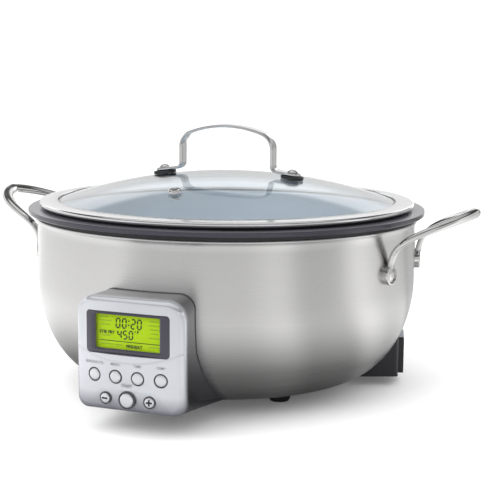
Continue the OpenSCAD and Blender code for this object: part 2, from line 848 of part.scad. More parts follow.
module housing_screws() {
    seat = shell_r - shell_t - 0.5;
    placed() color("silver") for (a = [-1, 1], z = housing_screw_z)
        at_front(a * housing_screw_angle) {
            lean = z < bowl_top_z ? 2.2 : 0;
            radial_pin(z, seat - lean, 174, 1.5);
            radial_pin(z, seat - lean - 2, seat - lean, 2.8);
        }
}

// A piece of the curved face between two radii
module face_band(r0, r1) {
    intersection() {
        ring(r1, r0, 0, 130, $fn = 360);
        children();
    }
}

module display_bezel() {
    placed() color("darkslategray") difference() {
        face_band(face_r - 3.4, face_r)
            front_slab(bezel_half_w - 0.1, bezel_z0 + 0.1, bezel_z1 - 0.1, 2.9, -200, -170);
        front_slab(window_half_w, window_z0, window_z1, 1, -200, -170);
    }
}

module display_lens() {
    placed() color([0.8, 0.9, 0.8, 0.4]) face_band(face_r - 2.4, face_r - 1)
        front_slab(window_half_w - 0.1, window_z0 + 0.1, window_z1 - 0.1, 0.9, -200, -170);
}

module lcd_panel() {
    placed() color("yellowgreen")
        translate([-29, board_y - 6.2, window_z0 - 3])
            cube([58, 6.1, window_z1 - window_z0 + 6]);
}

module control_board() {
    placed() color("green") difference() {
        translate([-board_half_w, board_y, board_z0])
            cube([2 * board_half_w, board_t, board_z1 - board_z0]);
        for (x = [-1, 1], z = post_z)
            translate([x * post_x, board_y + 3, z]) rotate([90, 0, 0]) cylinder(r = 1.2, h = 6);
    }
}

module board_screws() {
    placed() color("silver") for (x = [-1, 1], z = post_z)
        translate([x * post_x, board_y + board_t, z]) rotate([90, 0, 0]) {
            cylinder(r = 1, h = board_t + 4);
            translate([0, 0, -1.5]) cylinder(r = 2.2, h = 1.5);
        }
}

module button_switches() {
    placed() color("dimgray") for (b = BUTTONS) {
        x = face_r * sin(b[1]) * 0.97;
        translate([x - 3, board_y - 3.1, b[2] - 3]) cube([6, 3.09, 6]);
        translate([x, board_y - 3, b[2]]) rotate([90, 0, 0]) cylinder(r = 1.75, h = switch_h - 3);
    }
}

module button_rings() {
    placed() color("black") for (b = BUTTONS) at_front(b[1]) difference() {
        radial_pin(b[2], face_r - face_t, face_r - 0.3, b[3] + ring_of(b));
        radial_pin(b[2], face_r - 8, face_r + 2, b[3] + 0.3);
    }
}

// A cap with a retaining flange behind the face and a stem for its switch
module button(index) {
    b = BUTTONS[index];
    stem_end = (-board_y + switch_h + stem_gap) / cos(b[1]);
    placed() color("gainsboro") at_front(b[1]) union() {
        radial_pin(b[2], face_r - 4.7, face_r - 3.2, b[3] + ring_of(b) - 0.2);
        radial_pin(b[2], face_r - 4.7, face_r + cap_proud - 0.5, b[3]);
        radial_pin(b[2], face_r - 4.7, face_r + cap_proud, b[3] - 0.6);
        radial_pin(b[2], stem_end, face_r - 4.5, 1.7);
    }
}

module button_sear() { button(0); }
module button_menu() { button(1); }
module button_time() { button(2); }
module button_temp() { button(3); }
module button_minus() { button(4); }
module button_start() { button(5); }
module button_plus() { button(6); }

// ---------------------------------------------------------------------- pot

module inner_pot() {
    mid_r = pot_out_r - pot_corner_r;
    mid_z = pot_floor_z + pot_corner_r;
    outer = arc_points(mid_r, mid_z, pot_corner_r, -90, 0, corner_steps);
    inner = arc_points(mid_r, mid_z, pot_corner_r - pot_t, 0, -90, corner_steps);
    mouth = arc_points(pot_r + 3, rim_z - 3, 3, 90, 180, 5);
    edge = arc_points(flange_r - 0.8, rim_z - 0.8, 0.8, 0, 90, 3);
    placed() color("slategray") rotate_extrude($fn = 180)
        polygon(concat(
            [[0, pot_floor_z]], outer,
            [[pot_out_r, rim_z - flange_t]],
            [[flange_r - 0.6, rim_z - flange_t]],
            [[flange_r, rim_z - flange_t + 0.6]],
            edge, mouth, inner,
            [[0, pot_floor_z + pot_t]]));
}

// ---------------------------------------------------------------------- lid

module lid_glass() {
    steps = 16;
    edge_a = asin(lid_glass_r / dome_r);
    under_r = 142.5;
    under_a = asin(under_r / (dome_r - glass_t));
    top = arc_points(0, dome_mid_z, dome_r, 90 - edge_a, 90, steps);
    under = arc_points(0, dome_mid_z, dome_r - glass_t, 90, 90 - under_a, steps);
    placed() color([0.85, 0.9, 0.92, 0.35]) difference() {
        rotate_extrude($fn = 180)
            polygon(concat(top, under, [[under_r, glass_rim_z0]],
                           [[glass_rim_r, glass_rim_z0]], [[glass_rim_r, glass_rim_z1]],
                           [[lid_glass_r, glass_rim_z1]]));
        for (s = [-1, 1]) translate([s * lid_screw_x, 0, dome_z(lid_screw_x, 0)])
            rotate([0, s * foot_tilt, 0]) cylinder(r = 2.6, h = 20, center = true);
        translate([vent_x, vent_y, 150]) cylinder(r = vent_hole_r, h = 40);
    }
}

module lid_ring() {
    edge_r = 2;
    placed() color("silver") rotate_extrude($fn = 180) {
        difference() {
            polygon([[148, lid_z], [lid_ring_r - edge_r, lid_z],
                     [lid_ring_r - edge_r, lid_z + 2 * edge_r],
                     [lid_glass_r + 0.6, lid_z + 2 * edge_r + 0.8],
                     [lid_glass_r + 0.1, lid_z + 3.4], [148, lid_z + 3.35]]);
            translate([140, lid_z + 1.05]) square([glass_rim_r + 0.1 - 140, 2.3]);
        }
        translate([lid_ring_r - edge_r, lid_z + edge_r]) circle(r = edge_r, $fn = 32);
    }
}

module lid_seal() {
    placed() color("black") rotate_extrude($fn = 180)
        polygon([[148.5, rim_z + seat_gap], [156, rim_z + seat_gap], [156.6, lid_z - tiny],
                 [148, lid_z - tiny]]);
}

// Outline of the bent strap: two legs, a low arch and flat feet that follow the dome
function strap_line(grow) = let (
    leg = lid_leg_x + grow,
    sr = shoulder_r + grow,
    ar = arch_r + grow,
    mid_z = strap_top_z - strap_t / 2 - arch_r,
    sx = lid_leg_x - shoulder_r,
    tilt = asin(sx / (arch_r - shoulder_r)),
    sz = mid_z + (arch_r - shoulder_r) * cos(tilt),
    arch = arc_points(0, mid_z, ar, 90 - tilt, 90, 8),
    shoulder = arc_points(sx, sz, sr, 0, 90 - tilt, 8))
    concat(shoulder, arch);

module strap_half() {
    t = strap_t / 2;
    heel_x = lid_leg_x + heel_r;
    heel_z = strap_foot_z + (t + heel_r) / cos(foot_tilt)
        + (lid_screw_x - heel_x) * tan(foot_tilt);
    outer = strap_line(t);
    inner = strap_line(-t);
    polygon(concat(
        [[lid_leg_x - t, heel_z], [lid_leg_x + t, heel_z]],
        outer, reversed(inner)));
    difference() {
        translate([heel_x, heel_z]) circle(r = heel_r + t, $fn = 64);
        translate([heel_x, heel_z]) circle(r = heel_r - t, $fn = 64);
        translate([heel_x - 20, heel_z]) square(40);
        translate([heel_x, heel_z]) rotate(-90 - foot_tilt) square([40, 40]);
        translate([heel_x, heel_z]) rotate(-foot_tilt) square([40, 40]);
    }
    translate([heel_x, heel_z]) rotate(-foot_tilt)
        translate([-0.02, -heel_r - t]) square([foot_len - 5, strap_t]);
}

module lid_handle() {
    placed() color("lightgray") difference() {
        rotate([90, 0, 0]) translate([0, 0, -strap_w / 2]) linear_extrude(height = strap_w) {
            strap_half();
            mirror([1, 0, 0]) strap_half();
        }
        for (s = [-1, 1]) translate([s * lid_screw_x, 0, dome_z(lid_screw_x, 0)])
            rotate([0, s * foot_tilt, 0]) cylinder(r = 2.4, h = 40, center = true);
    }
}

// A frame on the dome at each handle screw, with Z along the glass's normal
module at_lid_screws() {
    placed() for (s = [-1, 1]) translate([s * lid_screw_x, 0, dome_z(lid_screw_x, 0)])
        rotate([0, s * foot_tilt, 0]) children();
}

module lid_handle_pads() {
    color("black") at_lid_screws() difference() {
        translate([0, 0, 0.15]) linear_extrude(height = pad_t - 0.2)
            rounded_rect(19, 15, 6);
        translate([0, 0, -1]) cylinder(r = 2.6, h = 8);
    }
}

module lid_handle_screws() {
    seat = pad_t + strap_t + 0.15;
    color("silver") at_lid_screws() union() {
        translate([0, 0, -7]) cylinder(r = 2.2, h = 7 + seat + 1);
        intersection() {
            translate([0, 0, seat - 3.6]) sphere(r = 6, $fn = 64);
            translate([0, 0, seat]) cylinder(r = 4.8, h = 5);
        }
    }
}

module lid_handle_nuts() {
    color("gainsboro") at_lid_screws() difference() {
        translate([0, 0, -glass_t - 4.2]) cylinder(r = 6, h = 4);
        translate([0, 0, -glass_t - 3.2]) cylinder(r = 2.26, h = 4);
    }
}

module steam_vent() {
    r = norm([vent_x, vent_y]);
    tilt = asin(r / dome_r);
    turn = atan2(vent_y, vent_x);
    z = dome_z(r, 0);
    placed() color("silver") translate([vent_x, vent_y, 0]) difference() {
        union() {
            translate([0, 0, z - 7.5]) cylinder(r = vent_hole_r - 0.1, h = 7.5);
            translate([0, 0, z]) rotate([0, tilt * cos(turn), 0])
                rotate([-tilt * sin(turn), 0, 0])
                    translate([0, 0, 0.05]) cylinder(r1 = 5.8, r2 = 4.6, h = 2.4);
            translate([0, 0, z - 8.4]) cylinder(r = 5, h = 1.4);
        }
        translate([0, 0, z - 10]) cylinder(r = 2.2, h = 20);
    }
}

outer_shell();
rim_gasket();
heat_well();
base_plate();
base_screws();
foot_pads();
foot_screws();
heating_plate();
heater_element();
plate_standoffs();
heat_reflector();
sensor_bracket();
sensor_spring();
thermal_sensor();
sensor_clip();
thermal_fuse();
power_tray();
power_board();
power_parts();
heater_leads();
panel_cable();
inlet_housing();
inlet_gasket();
inlet_socket();
inlet_trim();
inlet_pins();
inlet_screws();
inlet_leads();
handle_left();
handle_right();
handle_rivets();
control_housing();
housing_gasket();
housing_screws();
display_bezel();
display_lens();
lcd_panel();
control_board();
board_screws();
button_switches();
button_rings();
button_sear();
button_menu();
button_time();
button_temp();
button_minus();
button_start();
button_plus();
inner_pot();
lid_glass();
lid_ring();
lid_seal();
lid_handle();
lid_handle_pads();
lid_handle_screws();
lid_handle_nuts();
steam_vent();
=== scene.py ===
"""Visual model of the round slow cooker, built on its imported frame.

Sizes in the upper part are in millimetres, in the frame's axes: the panel faces -Y, +Z is up.
make() turns them into metres. Every piece that replaces a solid keeps that solid's size and place.
"""
import json
import math

import bmesh
import bpy
from mathutils import Matrix, Vector

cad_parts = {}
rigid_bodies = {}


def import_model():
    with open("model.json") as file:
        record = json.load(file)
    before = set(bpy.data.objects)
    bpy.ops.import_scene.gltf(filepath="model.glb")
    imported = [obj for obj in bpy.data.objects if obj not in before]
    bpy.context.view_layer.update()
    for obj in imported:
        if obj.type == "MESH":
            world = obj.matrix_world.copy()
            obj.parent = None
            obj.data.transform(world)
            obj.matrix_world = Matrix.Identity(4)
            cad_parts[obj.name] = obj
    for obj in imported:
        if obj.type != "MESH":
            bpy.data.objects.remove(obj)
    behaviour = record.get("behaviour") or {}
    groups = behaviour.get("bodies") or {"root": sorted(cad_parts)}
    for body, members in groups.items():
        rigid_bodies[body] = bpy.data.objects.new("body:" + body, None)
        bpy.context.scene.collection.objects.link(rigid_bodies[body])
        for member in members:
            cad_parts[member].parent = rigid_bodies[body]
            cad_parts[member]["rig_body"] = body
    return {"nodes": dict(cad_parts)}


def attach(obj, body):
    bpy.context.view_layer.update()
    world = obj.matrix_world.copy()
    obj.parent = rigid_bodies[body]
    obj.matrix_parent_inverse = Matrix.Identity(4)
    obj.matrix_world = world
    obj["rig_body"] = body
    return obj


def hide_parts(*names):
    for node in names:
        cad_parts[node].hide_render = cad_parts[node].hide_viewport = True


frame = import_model()
NODES = frame["nodes"]
scene = bpy.context.scene
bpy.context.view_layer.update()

# ---- Sizes shared with the solid model, in millimetres ----
MM = 0.001
AXIS_Y = 13.55
RIM_Z = 153.0
SHELL_R, SHELL_T = 162.5, 1.2
BASE_R, BASE_Z, BOWL_TOP_Z = 103.0, 9.5, 94.0
WALL_TOP_Z = 141.0
POT_R, POT_T, POT_FLOOR_Z, POT_CORNER = 146.0, 2.2, 42.0, 32.0
FLANGE_R, FLANGE_T = 170.0, 3.9
LID_Z = 155.1
DOME_R = 453.0
DOME_MID_Z = RIM_Z + 29 - DOME_R
GLASS_T = 4.0
LID_RING_R, LID_GLASS_R = 160.6, 145.0
LEG_X, SCREW_X = 42.0, 59.0
STRAP_TOP_Z, STRAP_T, STRAP_W = 223.0, 2.8, 14.0
PAD_T = 3.0
VENT_X, VENT_Y = -9.0, -89.6
FACE_R = 196.5
FACE_HALF_W, FACE_Z0, FACE_Z1 = 44.3, 19.0, 105.0
FACE_CORNER, FACE_LOW_CORNER = 14.0, 9.0
BACK_HALF_W, BACK_Z0, BACK_Z1 = 29.5, 13.6, 106.0
FLARE_TOP_Z, FLARE_W = 60.0, 19.5
PANEL_INSIDE = (2.6, 2.8, 3.0, -100.0)
WINDOW_HALF_W, WINDOW_HALF_H, WINDOW_Z, WINDOW_CORNER = 33.9, 16.1, 79.0, 3.0
SWITCH_Y, LCD_Y, MARK_LIFT = 189.5, AXIS_Y - 190.7, 0.02
ROW_Z, LOW_ROW_Z, PITCH = 46.4, 29.2, 5.3
RIVET_Z = RIM_Z - 43
FOOT_ANGLE = 16.2
BOSS_R, BOSS_END = 8.2, 167.4
SEAT_R, SEAT_DEPTH = 6.3, 1.4
HANDLE_TIP = 220.5
FEET_RING, FEET_ANGLE, FEET_TOP_Z = 87.0, 52.5, 8.0

# Name, angle in degrees round the face, height, cap radius and ring width of each button
BUTTONS = [(name, steps * PITCH, ROW_Z, 4.5, 0.9) for name, steps in (
    ("sear", -1.5), ("menu", -0.5), ("time", 0.5), ("temp", 1.5))]
BUTTONS += [("minus", -PITCH, LOW_ROW_Z, 3.9, 0.9), ("start", 0.0, LOW_ROW_Z, 5.5, 1.3),
            ("plus", PITCH, LOW_ROW_Z, 3.9, 0.9)]


# ---- Angles in degrees, and places ----

def cosd(angle):
    return math.cos(math.radians(angle))


def sind(angle):
    return math.sin(math.radians(angle))


def asind(share):
    return math.degrees(math.asin(share))


def spin(angle, axis):
    return Matrix.Rotation(math.radians(angle), 4, axis)


def shift(x, y, z):
    return Matrix.Translation((x, y, z))


POT_AXIS = shift(0, AXIS_Y, 0)


def outward(angle, z):
    """A frame on the pot's axis at a height, its Z pointing out at an angle from the front, -Y."""
    return POT_AXIS @ spin(angle, "Z") @ shift(0, 0, z) @ spin(90, "X")


def polar(r, angle, z):
    return Vector((r * cosd(angle), r * sind(angle), z))


# ---- Mesh tools ----

def make(name, verts, faces, sharp=35.0):
    """A mesh object from millimetre points, smooth apart from edges sharper than sharp."""
    mesh = bpy.data.meshes.new(name)
    mesh.from_pydata([Vector(v) * MM for v in verts], [], faces)
    finish_mesh(mesh, sharp)
    obj = bpy.data.objects.new(name, mesh)
    scene.collection.objects.link(obj)
    return obj


def finish_mesh(mesh, sharp):
    """Outward normals, no doubled points, and smooth shading that keeps the sharp edges."""
    work = bmesh.new()
    work.from_mesh(mesh)
    bmesh.ops.remove_doubles(work, verts=work.verts, dist=1e-7)
    bmesh.ops.recalc_face_normals(work, faces=work.faces)
    work.to_mesh(mesh)
    work.free()
    mesh.shade_smooth()
    mesh.set_sharp_from_angle(angle=math.radians(sharp))


def loft(loops, close=False):
    """Points and faces of a skin through loops that all have the same number of points."""
    count = len(loops[0])
    verts = [p for loop in loops for p in loop]
    last = len(loops)
    spans = range(last if close else last - 1)
    faces = [
        (i * count + k, i * count + (k + 1) % count,
         (i + 1) % last * count + (k + 1) % count, (i + 1) % last * count + k)
        for i in spans for k in range(count)
    ]
    if not close:
        faces.append(tuple(reversed(range(count))))
        faces.append(tuple(range((last - 1) * count, last * count)))
    return verts, faces


def turned(profile, steps, place=None):
    """Points and faces of a profile of (radius, height) turned about Z, then moved by place."""
    closed = profile[0][0] > 1e-6 or profile[-1][0] > 1e-6
    rings, verts, faces = [], [], []
    for r, z in profile:
        if r <= 1e-6:
            rings.append([len(verts)] * steps)
            verts.append((0.0, 0.0, z))
            continue
        rings.append(range(len(verts), len(verts) + steps))
        for k in range(steps):
            a = 2 * math.pi * k / steps
            verts.append((r * math.cos(a), r * math.sin(a), z))
    pairs = list(zip(rings, rings[1:]))
    if closed:
        pairs.append((rings[-1], rings[0]))
    for a, b in pairs:
        for k in range(steps):
            m = (k + 1) % steps
            face = tuple(dict.fromkeys((a[k], b[k], b[m], a[m])))
            if len(face) > 2:
                faces.append(face)
    if place is not None:
        verts = [tuple(place @ Vector(v)) for v in verts]
    return verts, faces


def joined(parts):
    """Several (points, faces) as one."""
    verts, faces = [], []
    for part_verts, part_faces in parts:
        base = len(verts)
        verts.extend(part_verts)
        faces.extend(tuple(i + base for i in face) for face in part_faces)
    return verts, faces


def arc(cx, cz, r, start, end, steps):
    """Points of an arc, in degrees."""
    angles = [start + (end - start) * i / steps for i in range(steps + 1)]
    return [(cx + r * cosd(a), cz + r * sind(a)) for a in angles]


def eased(points, steps=5):
    """A closed outline of (x, z, radius) with each corner rounded to its radius."""
    out, count = [], len(points)
    for i, (x, z, r) in enumerate(points):
        here = Vector((x, z))
        if r <= 0:
            out.append((x, z))
            continue
        back = Vector(points[i - 1][:2]) - here
        ahead = Vector(points[(i + 1) % count][:2]) - here
        half = back.angle(ahead) / 2
        reach = min(r / math.tan(half), 0.49 * back.length, 0.49 * ahead.length)
        p, q = here + back.normalized() * reach, here + ahead.normalized() * reach
        for k in range(steps + 1):
            t = k / steps
            out.append(tuple(p * (1 - t) ** 2 + here * 2 * t * (1 - t) + q * t * t))
    return out


def copies(profile, steps, places):
    """A turned profile once at each place, as one (points, faces)."""
    return joined([turned(profile, steps, place) for place in places])


def round_the_pot(name, profile, steps=300, sharp=35.0):
    """A piece turned about the pot's axis."""
    return make(name, *turned(profile, steps, POT_AXIS), sharp=sharp)


def dome_z(r):
    """The height of the lid's glass at a distance from the axis."""
    return DOME_MID_Z + math.sqrt(DOME_R ** 2 - r * r)


def cut(obj, tool, mode="DIFFERENCE"):
    """obj minus tool, or what mode says of the two; the tool is removed."""
    step = obj.modifiers.new("cut", "BOOLEAN")
    step.operation = mode
    step.solver = "EXACT"
    step.object = tool
    apply_modifiers(obj)
    mesh = tool.data
    bpy.data.objects.remove(tool)
    bpy.data.meshes.remove(mesh)


def apply_modifiers(obj):
    """obj's mesh becomes what its modifiers make of it."""
    graph = bpy.context.evaluated_depsgraph_get()
    made = bpy.data.meshes.new_from_object(obj.evaluated_get(graph))
    old = obj.data
    obj.modifiers.clear()
    obj.data = made
    bpy.data.meshes.remove(old)


# ---- Materials ----

class Shader:
    """A node material under construction."""

    def __init__(self, name):
        self.material = bpy.data.materials.new(name)
        self.material.use_nodes = True
        self.tree = self.material.node_tree
        self.tree.nodes.clear()
        self.out = self.node("OutputMaterial")
        self.bsdf = self.node("BsdfPrincipled")
        self.link(self.bsdf.outputs["BSDF"], self.out.inputs["Surface"])
        self.place = self.node("TexCoord").outputs["Object"]

    def node(self, kind, sockets=None, **settings):
        """A new node with its settings, and its sockets fed by name or number."""
        made = self.tree.nodes.new("ShaderNode" + kind)
        for key, value in settings.items():
            setattr(made, key, value)
        for key, value in (sockets or {}).items():
            self.put(made.inputs[key], value)
        return made

    def link(self, source, target):
        self.tree.links.new(source, target)

    def put(self, target, value):
        """Feeds a socket from another socket or sets it to a constant."""
        if hasattr(value, "is_linked"):
            self.link(value, target)
        else:
            target.default_value = value

    def split(self):
        """The place as x, y and z sockets, in metres."""
        return self.node("SeparateXYZ", {0: self.place}).outputs

    def combine(self, x, y, z):
        return self.node("CombineXYZ", {0: x, 1: y, 2: z}).outputs[0]

    def math(self, operation, a, b=0.0):
        return self.node("Math", {0: a, 1: b}, operation=operation).outputs[0]

    def length(self, a, b):
        """The distance from nought of a point at (a, b)."""
        squares = [self.math("MULTIPLY", c, c) for c in (a, b)]
        return self.math("SQRT", self.math("ADD", *squares))

    def noise(self, scale, detail=3.0, stretch=(1, 1, 1), vector=None, rough=0.5):
        """Noise whose scale is in waves per metre, drawn out by stretch."""
        spread = self.node("Mapping", {"Vector": vector or self.place, "Scale": stretch})
        return self.node("TexNoise", {"Vector": spread.outputs["Vector"], "Scale": scale,
                                      "Detail": detail, "Roughness": rough}).outputs["Fac"]

    def ramp(self, source, low, high, start=0.0, end=1.0):
        """source between start and end as a value between low and high."""
        return self.node("MapRange", {"Value": source, "From Min": start, "From Max": end,
                                      "To Min": low, "To Max": high}).outputs["Result"]

    def blend(self, factor, a, b):
        a, b = (c if hasattr(c, "is_linked") else (*c, 1.0) for c in (a, b))
        return self.node("Mix", {"Factor": factor, 6: a, 7: b}, data_type="RGBA").outputs[2]

    def bump(self, height, strength, distance=0.0001, normal=None):
        sockets = {"Strength": strength, "Distance": distance, "Height": height}
        if normal is not None:
            sockets["Normal"] = normal
        return self.node("Bump", sockets).outputs["Normal"]

    def glow(self, color, strength):
        """Makes the surface give off light and nothing else."""
        made = self.node("Emission", {"Color": color, "Strength": strength})
        self.link(made.outputs[0], self.out.inputs["Surface"])

    def set(self, **values):
        """Sets the main shader's sockets by name, with spaces written as _."""
        for key, value in values.items():
            self.put(self.bsdf.inputs[key.replace("_", " ")], value)


def moulded(name, color, rough, grain=900.0, bump=0.15, tint=0.12, metal=0.0, coat=0.0, swing=0.08):
    """Plastic, rubber or plain metal: a fine grain, with colour and gloss that vary a little."""
    s = Shader(name)
    broad, fine = s.noise(22.0), s.noise(grain, 4.0)
    darker = tuple(c * (1 - tint) for c in color)
    lighter = tuple(min(1.0, c * (1 + tint) + 0.004) for c in color)
    tone = s.blend(broad, darker, lighter)
    s.set(Base_Color=s.blend(s.ramp(fine, 0.0, 0.35), tone, darker),
          Metallic=metal, Roughness=s.ramp(broad, rough - swing, rough + swing, 0.3, 0.7),
          Coat_Weight=coat, Normal=s.bump(fine, bump))
    return s.material


def angle_round(s):
    """The angle round the pot's axis, the distance from it and the height, in metres."""
    x, y, z = s.split()
    back = s.math("SUBTRACT", y, AXIS_Y * MM)
    return s.math("ARCTAN2", back, x), s.length(x, back), z


def brushed_round(name, color, rough, lines=1.0, anisotropic=0.75):
    """Steel brushed round the pot's axis: fine lines that spread the light up and down."""
    s = Shader(name)
    angle, far, z = angle_round(s)
    along = s.math("MULTIPLY", angle, 1.6)
    height = s.math("MULTIPLY", z, 4200.0 * lines)
    depth = s.math("MULTIPLY", far, 1800.0 * lines)
    streak = s.noise(1.0, 5.0, vector=s.combine(along, depth, height), rough=0.65)
    wide, tall = s.math("MULTIPLY", angle, 2.2), s.math("MULTIPLY", z, 9.0)
    broad = s.noise(1.0, 2.0, vector=s.combine(wide, far, tall))
    darker = tuple(c * 0.90 for c in color)
    tone = s.blend(streak, darker, color)
    spin = s.node("Tangent", direction_type="RADIAL", axis="Z")
    s.set(Base_Color=s.blend(s.ramp(broad, 0.0, 0.25), tone, darker),
          Metallic=1.0, Roughness=s.ramp(streak, rough - 0.06, rough + 0.08, 0.25, 0.75),
          Anisotropic=anisotropic, Anisotropic_Rotation=0.25, Tangent=spin.outputs[0],
          Normal=s.bump(streak, 0.12, 0.00004))
    return s.material


def polished(name, color, rough):
    """Polished steel with faint cloudy wear and hairline scratches."""
    s = Shader(name)
    cloud = s.noise(60.0, 4.0)
    hair = s.noise(900.0, 2.0, stretch=(1.0, 0.06, 0.4))
    darker = tuple(c * 0.93 for c in color)
    s.set(Base_Color=s.blend(cloud, darker, color), Metallic=1.0,
          Roughness=s.math("ADD", s.ramp(cloud, rough - 0.04, rough + 0.05, 0.3, 0.7),
                           s.ramp(hair, 0.0, 0.05, 0.5, 0.8)),
          Normal=s.bump(hair, 0.05, 0.00003))
    return s.material


def glass(name, tint, ior):
    """Clear glass with faint wipe marks, which lets lamp light straight through."""
    s = Shader(name)
    marks = s.noise(35.0, 5.0, stretch=(1.0, 2.5, 1.0))
    s.set(Base_Color=(*tint, 1.0), Roughness=s.ramp(marks, 0.0, 0.03, 0.55, 0.8),
          IOR=ior, Transmission_Weight=1.0)
    clear = s.node("BsdfTransparent", {"Color": (*tint, 1.0)})
    mix = s.node("MixShader", {0: s.node("LightPath").outputs["Is Shadow Ray"],
                               1: s.bsdf.outputs[0], 2: clear.outputs[0]})
    s.link(mix.outputs[0], s.out.inputs["Surface"])
    return s.material


def ceramic(name):
    """The pot's coating: bluish grey with a fine fleck inside, dark outside and on the rim."""
    s = Shader(name)
    _, far, z = angle_round(s)
    fleck, broad = s.noise(2600.0, 2.0), s.noise(14.0)
    tone = s.blend(broad, (0.55, 0.60, 0.65), (0.61, 0.66, 0.71))
    tone = s.blend(s.ramp(fleck, 0.0, 0.5, 0.6, 0.75), tone, (0.68, 0.73, 0.78))
    core_r, core_z = (POT_R + POT_T - POT_CORNER) * MM, (POT_FLOOR_Z + POT_CORNER) * MM
    out = s.math("MAXIMUM", s.math("SUBTRACT", far, core_r), 0.0)
    down = s.math("MAXIMUM", s.math("SUBTRACT", core_z, z), 0.0)
    depth = s.length(out, down)
    skin = (POT_CORNER - POT_T / 2) * MM
    tone = s.blend(s.ramp(depth, 0.0, 1.0, skin - 0.0002, skin + 0.0002), tone, (0.13, 0.13, 0.15))
    rim = s.ramp(far, 0.0, 1.0, (FLANGE_R - 1.2) * MM, (FLANGE_R - 0.5) * MM)
    s.set(Base_Color=s.blend(rim, tone, (0.035, 0.032, 0.045)),
          Metallic=0.3, Roughness=s.ramp(broad, 0.29, 0.33), Coat_Weight=0.3,
          Coat_Roughness=0.12, Normal=s.bump(fleck, 0.06, 0.00003))
    return s.material


def lcd(name):
    """The lit display: yellow-green, with a faint grain."""
    s = Shader(name)
    fine, broad = s.noise(5200.0, 1.0), s.noise(30.0)
    tone = s.blend(broad, (0.23, 0.335, 0.001), (0.265, 0.375, 0.001))
    tone = s.blend(s.ramp(fine, 0.0, 0.2), tone, (0.20, 0.30, 0.001))
    s.set(Base_Color=tone, Roughness=0.45, Specular_IOR_Level=0.1, Emission_Color=tone,
          Emission_Strength=0.32)
    return s.material


def ink(name, color):
    """Printed marks, with a slightly uneven edge of gloss."""
    s = Shader(name)
    fine = s.noise(3000.0, 2.0)
    s.set(Base_Color=s.blend(fine, color, tuple(c * 1.3 + 0.002 for c in color)),
          Roughness=s.ramp(fine, 0.42, 0.58), Specular_IOR_Level=0.2)
    return s.material


def panel_paint(name, color, scallop_z, scallop_r, depth):
    """Silver paint; a shallow scallop under the display is drawn in the surface."""
    s = Shader(name)
    x, y, z = s.split()
    up = s.math("SUBTRACT", z, (scallop_z + scallop_r) * MM)
    dish = s.ramp(s.length(x, up), 0.0, 1.0, (scallop_r - 0.9) * MM, (scallop_r + 0.5) * MM)
    flake, broad = s.noise(2600.0, 4.0), s.noise(16.0)
    tone = s.blend(broad, tuple(c * 0.97 for c in color), color)
    tone = s.blend(s.ramp(flake, 0.0, 0.15), tone, tuple(c * 0.9 for c in color))
    # Painted shade: the face darkens to a dark bluish grey over its lowest 15 mm.
    tone = s.blend(s.ramp(z, 1.0, 0.0, FACE_Z0 * MM, (FACE_Z0 + 15) * MM), tone, (0.18, 0.18, 0.215))
    behind = s.ramp(y, 0.0, 1.0, (AXIS_Y - FACE_R + 9) * MM, (AXIS_Y - FACE_R + 15) * MM)
    # Painted shade on the panel's sides: darker than the face and darker going up; a painted highlight
    # lightens their top 3 mm.
    side = s.blend(s.ramp(z, 0.0, 1.0, FACE_Z0 * MM, (FACE_Z0 + 60) * MM),
                   (0.26, 0.258, 0.29), (0.17, 0.168, 0.18))
    side = s.blend(s.ramp(z, 0.0, 1.0, (FACE_Z1 - 3) * MM, FACE_Z1 * MM), side, (0.46, 0.46, 0.47))
    s.set(Base_Color=s.blend(behind, tone, side),
          Metallic=s.ramp(behind, 0.62, 0.97), Roughness=s.ramp(broad, 0.15, 0.19, 0.3, 0.7),
          Normal=s.bump(dish, 1.0, depth * MM, s.bump(flake, 0.05)))
    return s.material


SHELL_STEEL = brushed_round("shell_brushed_steel", (0.66, 0.655, 0.65), 0.30)
RING_STEEL = brushed_round("ring_spun_steel", (0.80, 0.80, 0.80), 0.16, lines=0.7, anisotropic=0.5)
POLISHED = polished("handle_polished_steel", (0.68, 0.675, 0.67), 0.10)
PANEL = panel_paint("panel_silver_paint_painted_shade", (0.57, 0.585, 0.62), 57.2, 102.6, 0.22)
CAP = moulded("button_silver_paint", (0.66, 0.67, 0.70), 0.24, 2400.0, 0.04, 0.04, metal=0.8, coat=0.3)
BEZEL = moulded("bezel_dark_gloss", (0.022, 0.019, 0.034), 0.12, 1800.0, 0.03, 0.10, coat=0.7, swing=0.03)
RING_DARK = moulded("button_ring_dark", (0.030, 0.028, 0.040), 0.25, 1800.0, 0.05, coat=0.4)
RUBBER = moulded("black_rubber", (0.012, 0.012, 0.014), 0.55, 1500.0, 0.2)
SEAL = moulded("seal_grey_rubber", (0.055, 0.054, 0.058), 0.45, 1500.0, 0.15)
BLACK = moulded("black_moulded_plastic", (0.014, 0.014, 0.018), 0.36, 700.0, 0.35)
CERAMIC = ceramic("pot_ceramic_coat")
LID_GLASS = glass("lid_clear_glass", (0.90, 0.94, 0.965), 1.47)
LENS = glass("display_clear_lens", (0.97, 0.99, 0.96), 1.14)
LCD = lcd("display_lit_green")
LCD_INK = ink("display_segments", (0.008, 0.016, 0.003))
GHOST_INK = ink("display_faint_segments", (0.18, 0.27, 0.003))
LABEL_INK = ink("label_grey", (0.13, 0.13, 0.15))
MARK_INK = ink("mark_dark", (0.014, 0.013, 0.020))
NUT = moulded("cap_nut_grey", (0.42, 0.44, 0.47), 0.30, 900.0, 0.1, metal=0.6)
ALUMINIUM = moulded("spun_aluminium", (0.62, 0.62, 0.63), 0.38, 500.0, 0.25, metal=1.0)
STEEL = moulded("plain_steel", (0.52, 0.52, 0.53), 0.34, 600.0, 0.25, metal=1.0)
ELEMENT = moulded("element_oxide", (0.10, 0.095, 0.09), 0.55, 400.0, 0.4, metal=0.7)
BRASS = moulded("pin_brass", (0.70, 0.50, 0.20), 0.22, 500.0, 0.1, metal=1.0)
BOARD = moulded("board_green_resist", (0.012, 0.11, 0.035), 0.34, 1600.0, 0.3, coat=0.4)
